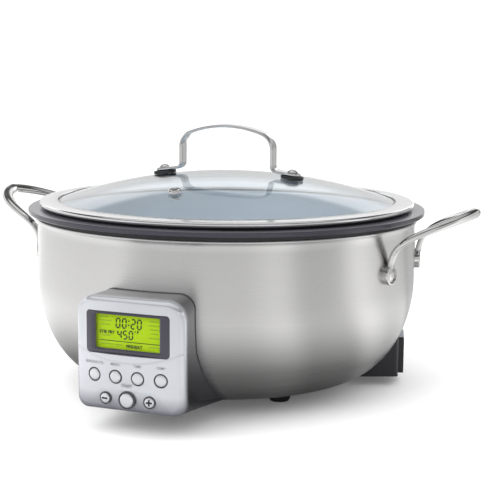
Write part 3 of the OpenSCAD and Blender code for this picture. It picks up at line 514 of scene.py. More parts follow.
PART_BLUE = moulded("component_blue", (0.04, 0.07, 0.24), 0.40, 900.0, 0.2)
WHITE = moulded("white_plastic", (0.66, 0.66, 0.64), 0.45, 900.0, 0.2)
SLEEVE = moulded("cable_sleeve", (0.10, 0.045, 0.022), 0.55, 1200.0, 0.3)

# The material of every solid, by node
NODE_MATERIALS = {
    node: material for material, nodes in (
        (SHELL_STEEL, "outer_shell"), (RING_STEEL, "lid_ring"), (CERAMIC, "inner_pot"),
        (POLISHED, "handle_left handle_right handle_rivets lid_handle lid_handle_screws steam_vent"),
        (LID_GLASS, "lid_glass"), (PANEL, "control_housing"), (SEAL, "housing_gasket"),
        (CAP, " ".join("button_" + name for name, *_ in BUTTONS)), (RING_DARK, "button_rings"),
        (BEZEL, "display_bezel"), (LENS, "display_lens"), (LCD, "lcd_panel"),
        (RUBBER, "rim_gasket foot_pads inlet_gasket lid_seal lid_handle_pads"),
        (BLACK, "base_plate inlet_housing inlet_socket button_switches"),
        (NUT, "inlet_trim lid_handle_nuts"), (BRASS, "inlet_pins"), (ELEMENT, "heater_element"),
        (ALUMINIUM, "heat_well heating_plate heat_reflector thermal_sensor"),
        (STEEL, "base_screws foot_screws plate_standoffs sensor_bracket sensor_spring sensor_clip"
                " inlet_screws housing_screws board_screws"),
        (BOARD, "power_board control_board"), (PART_BLUE, "thermal_fuse power_parts"),
        (WHITE, "power_tray heater_leads"), (SLEEVE, "panel_cable inlet_leads"),
    ) for node in nodes.split()
}


def dress(obj, material):
    """Gives obj one material."""
    obj.data.materials.clear()
    obj.data.materials.append(material)


def stand_for(obj, node):
    """obj takes the place of a solid: its body and its material, and the solid is hidden."""
    dress(obj, NODE_MATERIALS[node])
    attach(obj, NODES[node]["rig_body"])
    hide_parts(node)


def detail(obj, body, material):
    """obj is a mark or small piece on a body."""
    dress(obj, material)
    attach(obj, body)


# ---- Shell and rim ----

def bowl_curve(off):
    """The bowl's quarter ellipse, from the straight wall down to the flat ring."""
    across, down = SHELL_R - BASE_R + off, BOWL_TOP_Z - BASE_Z + off
    return [(BASE_R + across * x, BOWL_TOP_Z - down * z) for x, z in arc(0, 0, 1, 0, 90, 60)]


def bowl_tool(off, place=POT_AXIS):
    """The bowl's filled shape, grown by some, to cut other pieces with."""
    return make("bowl", *turned([(0, 160), (SHELL_R + off, 160)] + bowl_curve(off)
                                + [(0, BASE_Z - off)], 360, place))


def outer_shell():
    bead = arc(SHELL_R + 0.7, RIM_Z - 8.4, 1.1, 230, -60, 14)
    straight = [(SHELL_R, WALL_TOP_Z - 5 * k) for k in range(1, 9)]
    profile = ([(SHELL_R - SHELL_T, WALL_TOP_Z)] + bead + [(SHELL_R, WALL_TOP_Z)] + straight
               + bowl_curve(0) + [(84, BASE_Z), (84, BASE_Z + SHELL_T)]
               + list(reversed(bowl_curve(-SHELL_T))))
    stand_for(round_the_pot("shell", profile, 360), "outer_shell")


def rim_gasket():
    inner, lip, outer = 152.7, 161.8, SHELL_R + 0.9
    low, mid, top = RIM_Z - 7.89, RIM_Z - 7.29, RIM_Z - FLANGE_T - 0.1
    outline = [(inner, low, 0.3), (lip, low, 0), (lip, mid, 0), (outer, mid, 0.5),
               (outer, top, 0.6), (inner, top, 0.3)]
    stand_for(round_the_pot("rim_gasket_ring", eased(outline)), "rim_gasket")


def inner_pot():
    out_r, corner = POT_R + POT_T, POT_CORNER
    mid_r, mid_z = out_r - corner, POT_FLOOR_Z + corner
    outside = arc(mid_r, mid_z, corner, -90, 0, 24)
    inside = arc(mid_r, mid_z, corner - POT_T, 0, -90, 24)
    mouth = arc(POT_R + 3, RIM_Z - 3, 3, 90, 180, 8)
    edge = arc(FLANGE_R - 0.8, RIM_Z - 0.8, 0.8, 0, 90, 6)
    walls = [(POT_R, RIM_Z - 3 - 9 * k) for k in range(1, 8)]
    profile = ([(0, POT_FLOOR_Z)] + outside + [(out_r, RIM_Z - FLANGE_T)]
               + [(FLANGE_R - 0.6, RIM_Z - FLANGE_T), (FLANGE_R, RIM_Z - FLANGE_T + 0.6)]
               + edge + mouth + walls + inside + [(0, POT_FLOOR_Z + POT_T)])
    stand_for(round_the_pot("pot", profile, 320), "inner_pot")


# ---- Lid ----

def lid_glass():
    edge_a = asind(LID_GLASS_R / DOME_R)
    under_r = 142.5
    under_a = asind(under_r / (DOME_R - GLASS_T))
    top = arc(0, DOME_MID_Z, DOME_R, 90, 90 - edge_a, 40)
    under = arc(0, DOME_MID_Z, DOME_R - GLASS_T, 90 - under_a, 90, 40)
    top[0], under[-1] = (0, top[0][1]), (0, under[-1][1])
    rim = [(LID_GLASS_R, LID_Z + 3.3), (155, LID_Z + 3.3), (155, LID_Z + 1.1), (under_r, LID_Z + 1.1)]
    stand_for(round_the_pot("lid_dome", top + rim + under, 320, 50.0), "lid_glass")


def lid_ring():
    edge = 2.0
    nose = arc(LID_RING_R - edge, LID_Z + edge, edge, -90, 90, 14)
    rest = [(r, LID_Z + z) for r, z in (
        (153.0, 4.45), (LID_GLASS_R + 1.1, 4.8), (LID_GLASS_R + 0.6, 4.65), (LID_GLASS_R + 0.2, 4.2),
        (LID_GLASS_R + 0.15, 3.42), (155.1, 3.35), (155.1, 1.05), (148, 1.05), (148, 0))]
    stand_for(round_the_pot("lid_band", nose + rest, 320), "lid_ring")


def lid_seal():
    outline = [(148.5, RIM_Z + 0.1, 0.3), (156, RIM_Z + 0.1, 0.5), (156.6, LID_Z - 0.01, 0),
               (148, LID_Z - 0.01, 0)]
    stand_for(round_the_pot("lid_seal_ring", eased(outline)), "lid_seal")


def strap_route():
    """Points (x, z) of half the lid handle's centre line, from the foot's end to the middle."""
    tilt = asind(SCREW_X / DOME_R)
    shoulder, arch, heel, half = 14.0, 96.0, 5.0, STRAP_T / 2
    foot_z = dome_z(SCREW_X) + PAD_T / cosd(tilt)
    heel_x = LEG_X + heel
    heel_z = foot_z + half + heel + (SCREW_X - heel_x) * math.tan(math.radians(tilt))
    arch_z = STRAP_TOP_Z - half - arch
    sx = LEG_X - shoulder
    lean = asind(sx / (arch - shoulder))
    sz = arch_z + (arch - shoulder) * cosd(lean)
    base = arc(heel_x, heel_z, heel, -90 - tilt, -180, 10)
    start, along = Vector(base[0]), Vector((cosd(-tilt), sind(-tilt)))
    foot = [tuple(start + along * d) for d in (19.9, 19.7, 19.3, 18.6, 17.6, 16.3, 14.9, 10.0, 5.0)]
    leg = [(LEG_X, heel_z + (sz - heel_z) * k / 6) for k in range(1, 6)]
    bend = arc(sx, sz, shoulder, 0, 90 - lean, 14)
    crown = arc(0, arch_z, arch, 90 - lean, 90, 12)[1:]
    return foot + base + leg + bend + crown


def strap_section(half_w, half_t):
    """A flat bar's cross-section with a slight crown and rounded edges: (across, thick)."""
    edge = min(1.0, half_t * 0.9, half_w * 0.9)
    flat, drop, steps = half_w - edge, 0.3, 6
    low = half_t - drop - edge
    crown = [(flat * (1 - k / 4), half_t - drop * (1 - k / 4) ** 2) for k in range(1, 8)]
    upper = arc(flat, low, edge, 0, 84, steps) + crown + arc(-flat, low, edge, 96, 180, steps)
    return upper + [(-y, -t) for y, t in upper]


def lid_handle():
    half = strap_route()
    route = half + [(-x, z) for x, z in reversed(half[:-1])]
    end_r, loops = 5.0, []
    for i, (x, z) in enumerate(route):
        way = (Vector(route[min(i + 1, len(route) - 1)]) - Vector(route[max(i - 1, 0)])).normalized()
        out = Vector((-way[1], way[0]))
        from_end = min((Vector((x, z)) - Vector(end)).length for end in (route[0], route[-1]))
        round_off = end_r - math.sqrt(max(0.0, end_r ** 2 - max(0.0, end_r - from_end) ** 2))
        loops.append([(x + out[0] * t, AXIS_Y + y, z + out[1] * t)
                      for y, t in strap_section(STRAP_W / 2 - round_off, STRAP_T / 2)])
    stand_for(make("lid_strap", *loft(loops), sharp=50.0), "lid_handle")


def at_lid_screws():
    """Frames on the dome at the two handle screws, with Z along the glass's normal."""
    tilt = asind(SCREW_X / DOME_R)
    return [POT_AXIS @ shift(s * SCREW_X, 0, dome_z(SCREW_X)) @ spin(s * tilt, "Y") for s in (-1, 1)]


def domed(top, ball, r):
    """Half the profile of a round head, from its middle at a height out to its edge at r."""
    over = arc(0, top - ball, ball, 90, math.degrees(math.acos(r / ball)), 10)
    return [(0, top)] + over[1:]


def lid_handle_screws():
    seat, head, deep = PAD_T + STRAP_T + 0.15, 4.8, -7
    profile = domed(seat + 2.4, 6.0, head) + [(head, seat + 0.05), (2.2, seat), (2.2, deep), (0, deep)]
    stand_for(make("lid_screws", *copies(profile, 48, at_lid_screws())), "lid_handle_screws")


def lid_handle_nuts():
    top, low = -GLASS_T - 0.2, -GLASS_T - 4.2
    outline = [(0, low), (4.6, low), (5.5, low + 0.3), (6, low + 1.0), (6, top), (2.26, top),
               (2.26, low + 1.0), (0, low + 1.0)]
    stand_for(make("lid_cap_nuts", *copies(outline, 48, at_lid_screws())), "lid_handle_nuts")


def rounded_outline(half_w, half_h, r):
    """A rounded rectangle as a loop of points, from the right-hand lower corner round."""
    corners = [(half_w - r, -half_h + r, -90), (half_w - r, half_h - r, 0),
               (-half_w + r, half_h - r, 90), (-half_w + r, -half_h + r, 180)]
    return [point for x, z, a in corners for point in arc(x, z, r, a, a + 90, 10)]


def lid_handle_pads():
    layers = ((0.15, 0.5), (0.5, 0.0), (PAD_T - 0.4, 0.0), (PAD_T - 0.05, 0.5))
    parts = [loft([[tuple(place @ Vector((x, y, z)))
                    for x, y in rounded_outline(9.5 - off, 7.5 - off, 6 - off)]
                   for z, off in layers]) for place in at_lid_screws()]
    stand_for(make("lid_pads", *joined(parts)), "lid_handle_pads")


def steam_vent():
    r = math.hypot(VENT_X, VENT_Y)
    tilt, turn = asind(r / DOME_R), math.atan2(VENT_Y, VENT_X)
    place = (POT_AXIS @ shift(VENT_X, VENT_Y, dome_z(r))
             @ spin(tilt * math.cos(turn), "Y") @ spin(-tilt * math.sin(turn), "X"))
    outline = [(2.2, -8.2, 0.3), (5.0, -8.2, 0.4), (5.0, -7.0, 0.3), (3.5, -7.0, 0), (3.5, 0.05, 0),
               (5.8, 0.05, 0.2), (5.5, 1.6, 0.9), (4.4, 2.4, 0.8), (2.2, 2.0, 0.5)]
    stand_for(make("vent_grommet", *turned(eased(outline), 48, place)), "steam_vent")


# ---- Side handles ----

def bar_point(t):
    """Half of the handle's centre line, 0 at the foot's neck and 1 at the tip."""
    tip_x = HANDLE_TIP - 5.9
    neck = polar(SHELL_R + 2.8, -FOOT_ANGLE, RIVET_Z + 4)
    points = [neck, neck + Vector((1.1, 1.6, 26)), Vector((tip_x - 39.5, -60.7, RIM_Z - 11.6)),
              Vector((tip_x - 4, -32.3, RIM_Z + 2.7)), Vector((tip_x, 0, RIM_Z + 4.3))]
    weights = [math.comb(4, k) * (1 - t) ** (4 - k) * t ** k for k in range(5)]
    return sum((p * w for p, w in zip(points, weights)), Vector((0, 0, 0)))


def bar_loop(t):
    """The bar's cross-section at t: round at the neck, wider and flatter at the tip."""
    h, sides = 0.004, 24
    way = (bar_point(min(t + h, 1)) - bar_point(max(t - h, 0))).normalized()
    if t > 0.999:
        way = Vector((0, 1, 0))
    side = way.cross(Vector((0.42, 0, -0.91))).normalized()
    up = side.cross(way)
    w, d = 4.2 + 1.7 * t * t, 2.35 + 2.15 * t * t
    mid, square, loop = bar_point(t), 0.6 + 0.4 * t, []
    for k in range(sides):
        c, n = math.cos(2 * math.pi * k / sides), math.sin(2 * math.pi * k / sides)
        loop.append(tuple(mid + side * w * math.copysign(abs(c) ** square, c)
                          + up * d * math.copysign(abs(n) ** square, n)))
    return loop


def handle(name, node, side):
    """A side handle, side 1 or -1: bar and feet blended into one casting, then the rivet seats."""
    steps = 48
    half = [bar_loop(i / steps) for i in range(steps + 1)]
    other = [[(x, -y, z) for x, y, z in loop] for loop in reversed(half[:-1])]
    bar = make("bar", *loft(half + other))
    feet_places = [shift(0, -AXIS_Y, 0) @ outward(90 + s * FOOT_ANGLE, RIVET_Z) for s in (-1, 1)]
    inside = SHELL_R - 1.0
    outline = [(0, inside), (BOSS_R, inside), (BOSS_R, BOSS_END - 1.0),
               (BOSS_R - 0.3, BOSS_END - 0.3), (BOSS_R - 1.0, BOSS_END), (0, BOSS_END)]
    cut(bar, make("feet", *copies(outline, 64, feet_places)), "UNION")
    remesh = bar.modifiers.new("remesh", "REMESH")
    remesh.mode = "VOXEL"
    remesh.voxel_size = 0.55 * MM
    blend = bar.modifiers.new("soften", "SMOOTH")
    blend.factor = 0.5
    blend.iterations = 8
    apply_modifiers(bar)
    finish_mesh(bar.data, 180.0)
    cut(bar, bowl_tool(0.05, None))
    hole_r, seat = 3.06, BOSS_END - SEAT_DEPTH
    outline = [(0, 150), (hole_r, 150), (hole_r, seat), (SEAT_R - 0.3, seat),
               (SEAT_R, seat + 0.3), (SEAT_R, BOSS_END + 8), (0, BOSS_END + 8)]
    for place in feet_places:
        cut(bar, make("seat", *turned(outline, 64, place)))
    bar.data.transform(shift(0, AXIS_Y * MM, 0) @ Matrix.Diagonal((side, 1, 1, 1)))
    finish_mesh(bar.data, 38.0)
    bar.name = name
    stand_for(bar, node)


def handle_rivets():
    seat, wide, inside = BOSS_END - SEAT_DEPTH, 4.3, SHELL_R - SHELL_T - 0.3
    profile = domed(BOSS_END, 12.0, wide) + [
        (wide + 0.2, seat + 0.35), (5.5, seat + 0.25), (5.7, seat + 0.1), (5.6, seat), (3, seat),
        (3, inside), (5, inside), (5, inside - 1.6), (4.6, inside - 2.0), (0, inside - 2.0)]
    places = [outward(90 + s + a * FOOT_ANGLE, RIVET_Z) for s in (0, 180) for a in (-1, 1)]
    stand_for(make("handle_rivet_set", *copies(profile, 48, places)), "handle_rivets")


# ---- Control panel ----

def on_face(x, z, depth=0.0):
    """A point of the panel's curved face, or that far behind it."""
    r = FACE_R - depth
    return (x, AXIS_Y - math.sqrt(r * r - x * x), z)


def side_outline(x, z0, r0, z1, r1):
    """Half an outline of the panel at x, from its lower corner up to its upper corner."""
    steps, side = 10, 12
    low = arc(x - r0, z0 + r0, r0, -90, 0, steps)
    high = arc(x - r1, z1 - r1, r1, 0, 90, steps)
    a, b = Vector(low[-1]), Vector(high[0])
    between = [tuple(a.lerp(b, k / side)) for k in range(1, side)]
    return low + between + high


def panel_front(off):
    """The outline of the panel's face, drawn in by off."""
    return side_outline(FACE_HALF_W - off, FACE_Z0 + off, FACE_LOW_CORNER - off,
                        FACE_Z1 - off, FACE_CORNER - off)


def panel_back(off):
    """The outline where the panel meets the bowl: straight above, flared at the foot."""
    return side_outline(BACK_HALF_W - off, BACK_Z0 + off, 4, BACK_Z1 - off, 8)


def flare(z, share):
    """How much wider the foot is than the straight side, that far back towards the bowl."""
    low = max(0.0, min(1.0, (FLARE_TOP_Z - z) / (FLARE_TOP_Z - BACK_Z0)))
    return FLARE_W * share * low ** 1.15


def panel_body(name, off, face_depth, edge, back_y=-110.0):
    """The panel's filled shape, drawn in by off and face_depth, from its back to mid face."""
    front, back = panel_front(off), panel_back(off)
    loops, steps = [], 16
    for i in range(steps + 1):
        t, loop = i / steps, []
        for (fx, fz), (bx, bz) in zip(front, back):
            x, z = bx + (fx - bx) * t, bz + (fz - bz) * t
            x += flare(z, 1 - t) if off <= 0.6 and x > 1 else 0.0
            y_face = on_face(x, z, face_depth + edge)[1]
            loop.append((x, AXIS_Y + back_y + (y_face - AXIS_Y - back_y) * t, z))
        loops.append(loop)
    for k in range(1, 9):
        a = math.radians(90 * k / 8)
        inset = edge * (1 - math.cos(a))
        depth = face_depth + edge * (1 - math.sin(a))
        loops.append([on_face(x, z, depth) for x, z in panel_front(off + inset)])
    inner, mid_z = panel_front(off + edge), (FACE_Z0 + FACE_Z1) / 2
    for share in (1 - k / 9 for k in range(1, 9)):
        loops.append([on_face(x * share, mid_z + (z - mid_z) * share, face_depth) for x, z in inner])
    loops = [loop + [(-x, y, z) for x, y, z in reversed(loop)] for loop in loops]
    return make(name, *loft(loops), sharp=40.0)


def control_housing():
    shell = panel_body("panel_housing", 0.0, 0.0, 5.0)
    cut(shell, panel_body("inside", *PANEL_INSIDE))
    cut(shell, bowl_tool(1.2))
    window = rounded_outline(WINDOW_HALF_W, WINDOW_HALF_H, WINDOW_CORNER)
    cut(shell, make("window", *loft([[(x, AXIS_Y - FACE_R + y, WINDOW_Z + z) for x, z in window]
                                     for y in (-6.0, 12.0)])))
    for _, angle, z, cap, ring in BUTTONS:
        r = cap + ring + 0.05
        outline = [(0, FACE_R - 8), (r, FACE_R - 8), (r, FACE_R + 4), (0, FACE_R + 4)]
        cut(shell, make("hole", *turned(outline, 64, outward(angle, z))))
    finish_mesh(shell.data, 30.0)
    true_face_normals(shell.data)
    stand_for(shell, "control_housing")


def true_face_normals(mesh):
    """Corners on the curved face get the face's exact normal, so its cut-outs leave no creases."""
    normals = [Vector(n.vector) for n in mesh.corner_normals]
    for face in mesh.polygons:
        for corner in face.loop_indices:
            at = mesh.vertices[mesh.loops[corner].vertex_index].co / MM
            flat = Vector((at.x, at.y - AXIS_Y, 0))
            out = flat.normalized()
            if abs(flat.length - FACE_R) < 0.03 and face.normal.dot(out) > 0.97:
                normals[corner] = out
    mesh.normals_split_custom_set(normals)


def housing_gasket():
    ring = panel_body("panel_gasket", -0.45, 0.0, 4.0)
    cut(ring, bowl_tool(1.19), "INTERSECT")
    cut(ring, bowl_tool(0.01))
    cut(ring, panel_body("inside", *PANEL_INSIDE))
    stand_for(ring, "housing_gasket")


def face_loop(outline, by, depth, share=1.0):
    """A loop on the curved face, that far behind it, grown by some and scaled by share.

    outline: a rounded rectangle as (half width, bottom, top, corner radius)."""
    half_w, z0, z1, r = outline
    mid = (z0 + z1) / 2
    points = rounded_outline(half_w + by, (z1 - z0) / 2 + by, max(r + by, 0.2))
    return [on_face(x * share, mid + z * share, depth) for x, z in points]


def display_bezel():
    """The dark frame round the display, with eased edges."""
    outer, inner = (33.8, 63.0, 95.0, 2.9), (26.1, 66.9, 92.6, 1.0)
    thick, edge = 3.4, 0.5
    steps = ((outer, 0, thick), (outer, 0, edge), (outer, -edge * 0.3, edge * 0.3), (outer, -edge, 0),
             (inner, edge * 2, 0), (inner, edge * 0.6, edge * 0.6), (inner, 0, edge * 1.6),
             (inner, 0, thick))
    loops = [face_loop(*step) for step in steps]
    stand_for(make("bezel", *loft(loops, close=True), sharp=50.0), "display_bezel")


def display_lens():
    """The clear plate in the bezel, with eased front edges."""
    outline, front, thick, edge = (26.0, 67.0, 92.5, 0.9), 1.0, 1.4, 0.2
    loops = [face_loop(outline, 0, front + thick, k / 6) for k in range(1, 7)]
    loops += [face_loop(outline, 0, front + edge), face_loop(outline, -edge * 0.3, front + edge * 0.3)]
    loops += [face_loop(outline, -edge, front, 1 - k / 6) for k in range(6)]
    stand_for(make("lens", *loft(loops), sharp=50.0), "display_lens")


def button_cap(name, angle, z, cap, ring):
    """A button's cap with its skirt behind the face and its stem down to the switch."""
    top = FACE_R + (0.6 if cap > 4.2 else 0.45)
    stem = SWITCH_Y / cosd(angle)
    skirt, front, back = cap + ring - 0.2, FACE_R - 3.2, FACE_R - 4.7
    crown = [(0, top), (cap * 0.45, top - 0.02), (cap * 0.75, top - 0.08), (cap - 0.55, top - 0.22),
             (cap - 0.25, top - 0.42), (cap - 0.05, top - 0.75), (cap, top - 1.1)]
    profile = crown + [(cap, front), (skirt, front), (skirt, back), (1.7, back), (1.7, stem), (0, stem)]
    stand_for(make("cap_" + name, *turned(profile, 64, outward(angle, z))), "button_" + name)


def button_rings():
    parts = []
    for _, angle, z, cap, ring in BUTTONS:
        inner, outer, back, front = cap + 0.3, cap + ring, FACE_R - 2.8, FACE_R - 0.3
        outline = [(inner, back, 0), (outer, back, 0), (outer, front, 0.2), (inner, front, 0.2)]
        parts.append(turned(eased(outline, 3), 64, outward(angle, z)))
    stand_for(make("ring_set", *joined(parts)), "button_rings")


# ---- Marks on the face and on the display ----

SEGMENTS = {"0": "abcdef", "2": "abged", "4": "fgbc", "5": "afgcd"}


def segment(kind, w, h, t):
    """A seven-segment bar as a six-sided outline in a digit of that width and height."""
    g, m = 0.12 * t, h / 2
    across = {"a": h - t / 2, "g": m, "d": t / 2}
    if kind in across:
        z, x0, x1 = across[kind], t / 2 + g, w - t / 2 - g
        return [(x0, z), (x0 + t / 2, z - t / 2), (x1 - t / 2, z - t / 2), (x1, z),
                (x1 - t / 2, z + t / 2), (x0 + t / 2, z + t / 2)]
    x = t / 2 if kind in "ef" else w - t / 2
    z0, z1 = (t / 2 + g, m - g) if kind in "ec" else (m + g, h - t / 2 - g)
    return [(x, z0), (x + t / 2, z0 + t / 2), (x + t / 2, z1 - t / 2), (x, z1),
            (x - t / 2, z1 - t / 2), (x - t / 2, z0 + t / 2)]


def lcd_mark(x, z, lift):
    """A point that far in front of the display's marks."""
    return (x, LCD_Y - MARK_LIFT - lift, z)


def on_lcd(outlines, thick):
    """Flat marks just in front of the display."""
    return joined([loft([[lcd_mark(x, z, lift) for x, z in outline] for lift in (0, thick)])
                   for outline in outlines])


def digits(text, x, z, w, h, t, gap):
    """Outlines of the lit segments of a row of digits; ':' is two dots."""
    out, slant = [], 0.05
    for letter in text:
        if letter == ":":
            for at in (0.3, 0.68):
                out.append([(x + dx + slant * h * at, z + h * at + dz)
                            for dx, dz in rule(0, t, 0, t)])
            x += t + gap
            continue
        for kind in SEGMENTS[letter]:
            out.append([(x + px + slant * pz, z + pz) for px, pz in segment(kind, w, h, t)])
        x += w + gap
    return out


def rule(x0, x1, z, t):
    """A bar from x0 to x1, t high, standing on z."""
    return [(x0, z), (x1, z), (x1, z + t), (x0, z + t)]


def lettering(name, words, size, place_point, material, bold):
    """Small generic words as thin solids. place_point(x, z, lift) puts a flat point in place."""
    parts, thick = [], 0.06
    for text, x, z in words:
        word = bpy.data.curves.new("word", "FONT")
        word.body = text
        word.size = size
        word.align_x = "CENTER"
        word.fill_mode = "FRONT"
        word.offset = bold
        word.resolution_u = 3
        holder = bpy.data.objects.new("word", word)
        scene.collection.objects.link(holder)
        graph = bpy.context.evaluated_depsgraph_get()
        flat = bpy.data.meshes.new_from_object(holder.evaluated_get(graph))
        bpy.data.objects.remove(holder)
        bpy.data.curves.remove(word)
        work = bmesh.new()
        work.from_mesh(flat)
        bmesh.ops.remove_doubles(work, verts=work.verts, dist=1e-5)
        made = bmesh.ops.extrude_face_region(work, geom=work.faces[:])
        for v in made["geom"]:
            if isinstance(v, bmesh.types.BMVert):
                v.co.z += 1.0
        bmesh.ops.recalc_face_normals(work, faces=work.faces)
        work.verts.ensure_lookup_table()
        verts = [place_point(x + v.co.x, z + v.co.y, v.co.z * thick) for v in work.verts]
        faces = [tuple(v.index for v in f.verts) for f in work.faces]
        work.free()
        bpy.data.meshes.remove(flat)
        parts.append((verts, faces))
    detail(make(name, *joined(parts), sharp=20.0), "base", material)


def face_mark(x, z, lift):
    """A point that far in front of the panel's face."""
    return on_face(x, z, -lift)


def cap_mark(name, outlines):
    """Raised marks on a button's cap."""
    angle, z = next(button[1:3] for button in BUTTONS if button[0] == name)
    place = outward(angle, z)
    parts = [loft([[tuple(place @ Vector((x, y, FACE_R + lift))) for x, y in outline]
                   for lift in (0.30, 0.60)]) for outline in outlines]
    detail(make("mark_" + name, *joined(parts)), NODES["button_" + name]["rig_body"], MARK_INK)


def display_marks():
    lit = digits("00:20", -11.4, 82.0, 4.1, 8.0, 1.15, 1.0)
    lit += digits("450", -10.2, 73.9, 3.9, 7.1, 1.1, 0.8)
    lit += [rule(-24.0, 24.6, 71.9, 0.6)]
    degree_mark = arc(4.9, 80.4, 0.6, 0, 315, 7)
    detail(make("display_digits", *on_lcd(lit + [degree_mark], 0.05)), "base", LCD_INK)
    faint = [rule(x, x + w, z, 1.1) for x, w, z in (
        (-24.0, 7.5, 89.4), (-24.0, 9.5, 86.6), (-24.0, 8.5, 83.8), (-22.5, 7.5, 75.6),
        (16.5, 8.0, 88.6), (15.5, 9.0, 85.6), (16.5, 8.0, 82.6), (17.5, 6.0, 79.6), (15.0, 9.5, 76.2),
        (-23.5, 10.5, 69.2), (-11.8, 6.0, 69.2), (15.5, 9.0, 69.2))]
    detail(make("display_ghosts", *on_lcd(faint, 0.02)), "base", GHOST_INK)
    lettering("display_words", [("PREHEAT", 4.0, 67.9), ("STIR FRY", -18.2, 77.6), ("F", 7.0, 79.0)],
              3.2, lcd_mark, LCD_INK, 0.14)


def face_labels():
    row, start = 54.9, 39.2
    words = [(text, FACE_R * sind(steps * PITCH), z) for text, steps, z in (
        ("SEAR/SAUTE", -1.5, row), ("MENU", -0.5, row), ("TIME", 0.5, row), ("TEMP", 1.5, row),
        ("START", 0.0, start))]
    lettering("face_words", words, 2.9, face_mark, LABEL_INK, 0.03)
    half, thick = 2.4, 0.62
    across = rule(-half, half, -thick, 2 * thick)
    below = rule(-thick, thick, -half, half - thick)
    above = rule(-thick, thick, thick, half - thick)
    cap_mark("minus", [across])
    cap_mark("plus", [across, below, above])


# ---- Feet ----

def foot_pads():
    profile = eased([(4.0, 0.0, 0.4), (7.75, 0.0, 1.2), (9.1, 3.0, 1.0), (9.75, FEET_TOP_Z, 0),
                     (2.1, FEET_TOP_Z, 0), (2.1, 3.0, 0), (4.0, 3.0, 0.3)], 4)
    angles = (FEET_ANGLE, 180 - FEET_ANGLE, 180 + FEET_ANGLE, -FEET_ANGLE)
    places = [POT_AXIS @ shift(*polar(FEET_RING, a - 90, 0)) for a in angles]
    stand_for(make("feet_set", *copies(profile, 56, places)), "foot_pads")


# ---- Build it all ----

for node, obj in NODES.items():
    dress(obj, NODE_MATERIALS[node])

for build in (outer_shell, rim_gasket, inner_pot, lid_glass, lid_ring, lid_seal, lid_handle,
              lid_handle_screws, lid_handle_nuts, lid_handle_pads, steam_vent):
    build()
handle("side_handle_right", "handle_right", 1)
handle("side_handle_left", "handle_left", -1)
for build in (handle_rivets, control_housing, housing_gasket, display_bezel, display_lens,
              button_rings):
    build()
for button in BUTTONS:
    button_cap(*button)
for build in (foot_pads, display_marks, face_labels):
    build()


# ---- Floor, light and camera ----

def floor():
    """A wide pale sweep under the object, with faint mottling."""
    s = Shader("floor_pale")
    tone = s.blend(s.noise(3.0), (0.965, 0.965, 0.965), (0.975, 0.975, 0.975))
    s.set(Base_Color=tone, Roughness=0.8, Emission_Color=tone, Emission_Strength=0.09)
    half = 6000
    plane = make("floor", [(x, y, 0) for x, y in rule(-half, half, -half, 2 * half)], [(0, 1, 2, 3)])
    plane.visible_glossy = False
    dress(plane, s.material)


# Brightness of the studio round the object, as seen in the metal, against the angle in degrees
# from the panel's side, positive to the right
AROUND = ((-180, 1.8), (-173, 1.1), (-154, 0.95), (-145, 1.15), (-128, 1.35), (-112, 1.0),
          (-60, 0.98), (-38, 1.02), (-22, 0.76), (30, 0.76), (50, 0.95), (64, 0.62), (82, 0.64),
          (98, 1.15), (120, 0.80), (142, 0.80), (148, 0.36), (153, 0.66), (163, 0.60), (167, 0.32),
          (172, 1.4), (180, 1.8))
# Brightness against height in degrees: dim floor, walls, a dark gap, a bright ceiling
UPWARD = ((-90, 0.5), (-8, 1.0), (0, 0.90), (5, 0.78), (12, 0.84), (18, 1.15), (24, 1.10),
          (28, 0.10), (44, 0.10), (50, 0.74), (90, 0.88))
# Brightness of the floor against the distance from the pot's axis in metres; dark near the axis: a
# painted shadow of the object, seen only in reflections
ACROSS = ((0.10, 0.06), (0.15, 0.20), (0.20, 0.60), (0.24, 0.95), (0.30, 1.30), (0.38, 1.35),
          (0.60, 1.05))


def curve(s, source, points):
    """A smooth one-channel curve through (place, value) points."""
    first, last = points[0][0], points[-1][0]
    top = max(v for _, v in points)
    made = s.node("ValToRGB")
    made.color_ramp.interpolation = "EASE"
    stops = made.color_ramp.elements
    while len(stops) < len(points):
        stops.new(0.5)
    for stop, (at, value) in zip(stops, points):
        stop.position = (at - first) / (last - first)
        level = value / top
        stop.color = (level, level, level, 1.0)
    s.link(s.ramp(source, 0.0, 1.0, first, last), made.inputs[0])
    return s.math("MULTIPLY", made.outputs[0], top)


def reflected(name, points, by_height):
    """Studio tones by the angle round the object, and by height or distance from the axis."""
    s = Shader(name)
    x, y, z = s.split()
    flat = s.length(x, y)
    turn = s.math("DEGREES", s.math("ARCTAN2", x, s.math("MULTIPLY", y, -1.0)))
    source = s.math("DEGREES", s.math("ARCTAN2", z, flat)) if by_height else flat
    s.glow((1.0, 1.0, 1.0, 1.0), s.math("MULTIPLY", curve(s, turn, AROUND), curve(s, source, points)))
    return s.material


def seen_by(obj, camera):
    """Shows obj to the camera alone, or to reflections alone."""
    obj.visible_camera = camera
    obj.visible_glossy = not camera
    obj.visible_diffuse = obj.visible_shadow = False
    obj.visible_transmission = obj.visible_volume_scatter = False


def studio():
    """The room and the floor as the metal sees them; they show in reflections and nowhere else."""
    room = make("studio_room", *turned(arc(0, 0, 4000, -90, 90, 24), 64))
    room.location = (0, 0, 0.15)
    dress(room, reflected("studio_walls", UPWARD, True))
    # The disc is darker near the pot's axis: a painted shadow of the object that only reflections show.
    disc = make("studio_floor", *turned([(0, -1), (3900, -1), (3900, -2), (0, -2)], 64))
    dress(disc, reflected("studio_ground_painted_shadow", ACROSS, False))
    for obj in (room, disc):
        seen_by(obj, False)


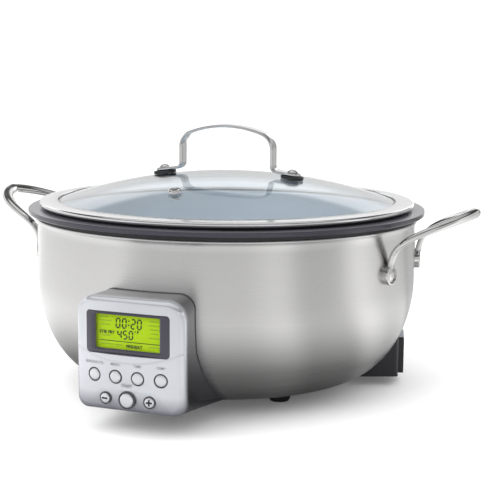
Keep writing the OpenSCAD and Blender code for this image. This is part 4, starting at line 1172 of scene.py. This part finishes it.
def softbox(name, place, aim, size, watts):
    """A rectangular lamp at a point, turned to another, in metres."""
    lamp = bpy.data.lights.new(name, "AREA")
    lamp.shape = "RECTANGLE"
    lamp.size, lamp.size_y = size
    lamp.energy = watts
    holder = bpy.data.objects.new(name, lamp)
    holder.location = place
    holder.rotation_euler = (Vector(aim) - Vector(place)).to_track_quat("-Z", "Y").to_euler()
    holder.visible_glossy = False
    scene.collection.objects.link(holder)


def world(horizon, overhead):
    """White light from all round, stronger from overhead."""
    sky = bpy.data.worlds.new("studio")
    sky.use_nodes = True
    tree = sky.node_tree
    way = tree.nodes.new("ShaderNodeSeparateXYZ")
    tree.links.new(tree.nodes.new("ShaderNodeTexCoord").outputs["Generated"], way.inputs[0])
    level = tree.nodes.new("ShaderNodeMapRange")
    level.inputs["To Min"].default_value = horizon
    level.inputs["To Max"].default_value = overhead
    tree.links.new(way.outputs["Z"], level.inputs["Value"])
    back = tree.nodes["Background"]
    back.inputs["Color"].default_value = (1.0, 1.0, 1.0, 1.0)
    tree.links.new(level.outputs["Result"], back.inputs["Strength"])
    scene.world = sky


def backdrop():
    """The white behind the object, seen by the camera alone."""
    s = Shader("backdrop_white")
    s.glow(s.blend(s.noise(0.4), (1.05, 1.05, 1.05), (1.07, 1.07, 1.07)), 1.0)
    room = make("backdrop", *turned(arc(0, 0, 5600, -90, 90, 16), 48))
    seen_by(room, True)
    dress(room, s.material)


def camera():
    """The camera at the photograph's viewing angle, about a metre in front of the panel."""
    azimuth, yaw, pitch, roll = 22.0, 1.068, 8.994, 0.526
    distance, above_rim, focal_mm, sensor_mm = 1.080, 0.13164, 90.187, 36
    data = bpy.data.cameras.new("camera")
    data.sensor_width = sensor_mm
    data.lens = focal_mm
    data.clip_start, data.clip_end = 0.05, 50
    holder = bpy.data.objects.new("camera", data)
    scene.collection.objects.link(holder)
    holder.matrix_world = (
        shift(0, AXIS_Y * MM, 0) @ spin(azimuth, "Z") @ shift(0, -distance, above_rim + RIM_Z * MM)
        @ spin(-yaw, "Z") @ spin(90 - pitch, "X") @ spin(roll, "Z"))
    scene.camera = holder


floor()
studio()
backdrop()
world(0.62, 1.55)
softbox("key_top", (-0.4, -0.3, 1.8), (0, 0, 0.1), (1.2, 1.2), 3)
softbox("key_front", (-0.8, -1.3, 1.0), (0, -0.15, 0.05), (1.4, 1.0), 16)
camera()
scene.view_settings.view_transform = "Standard"
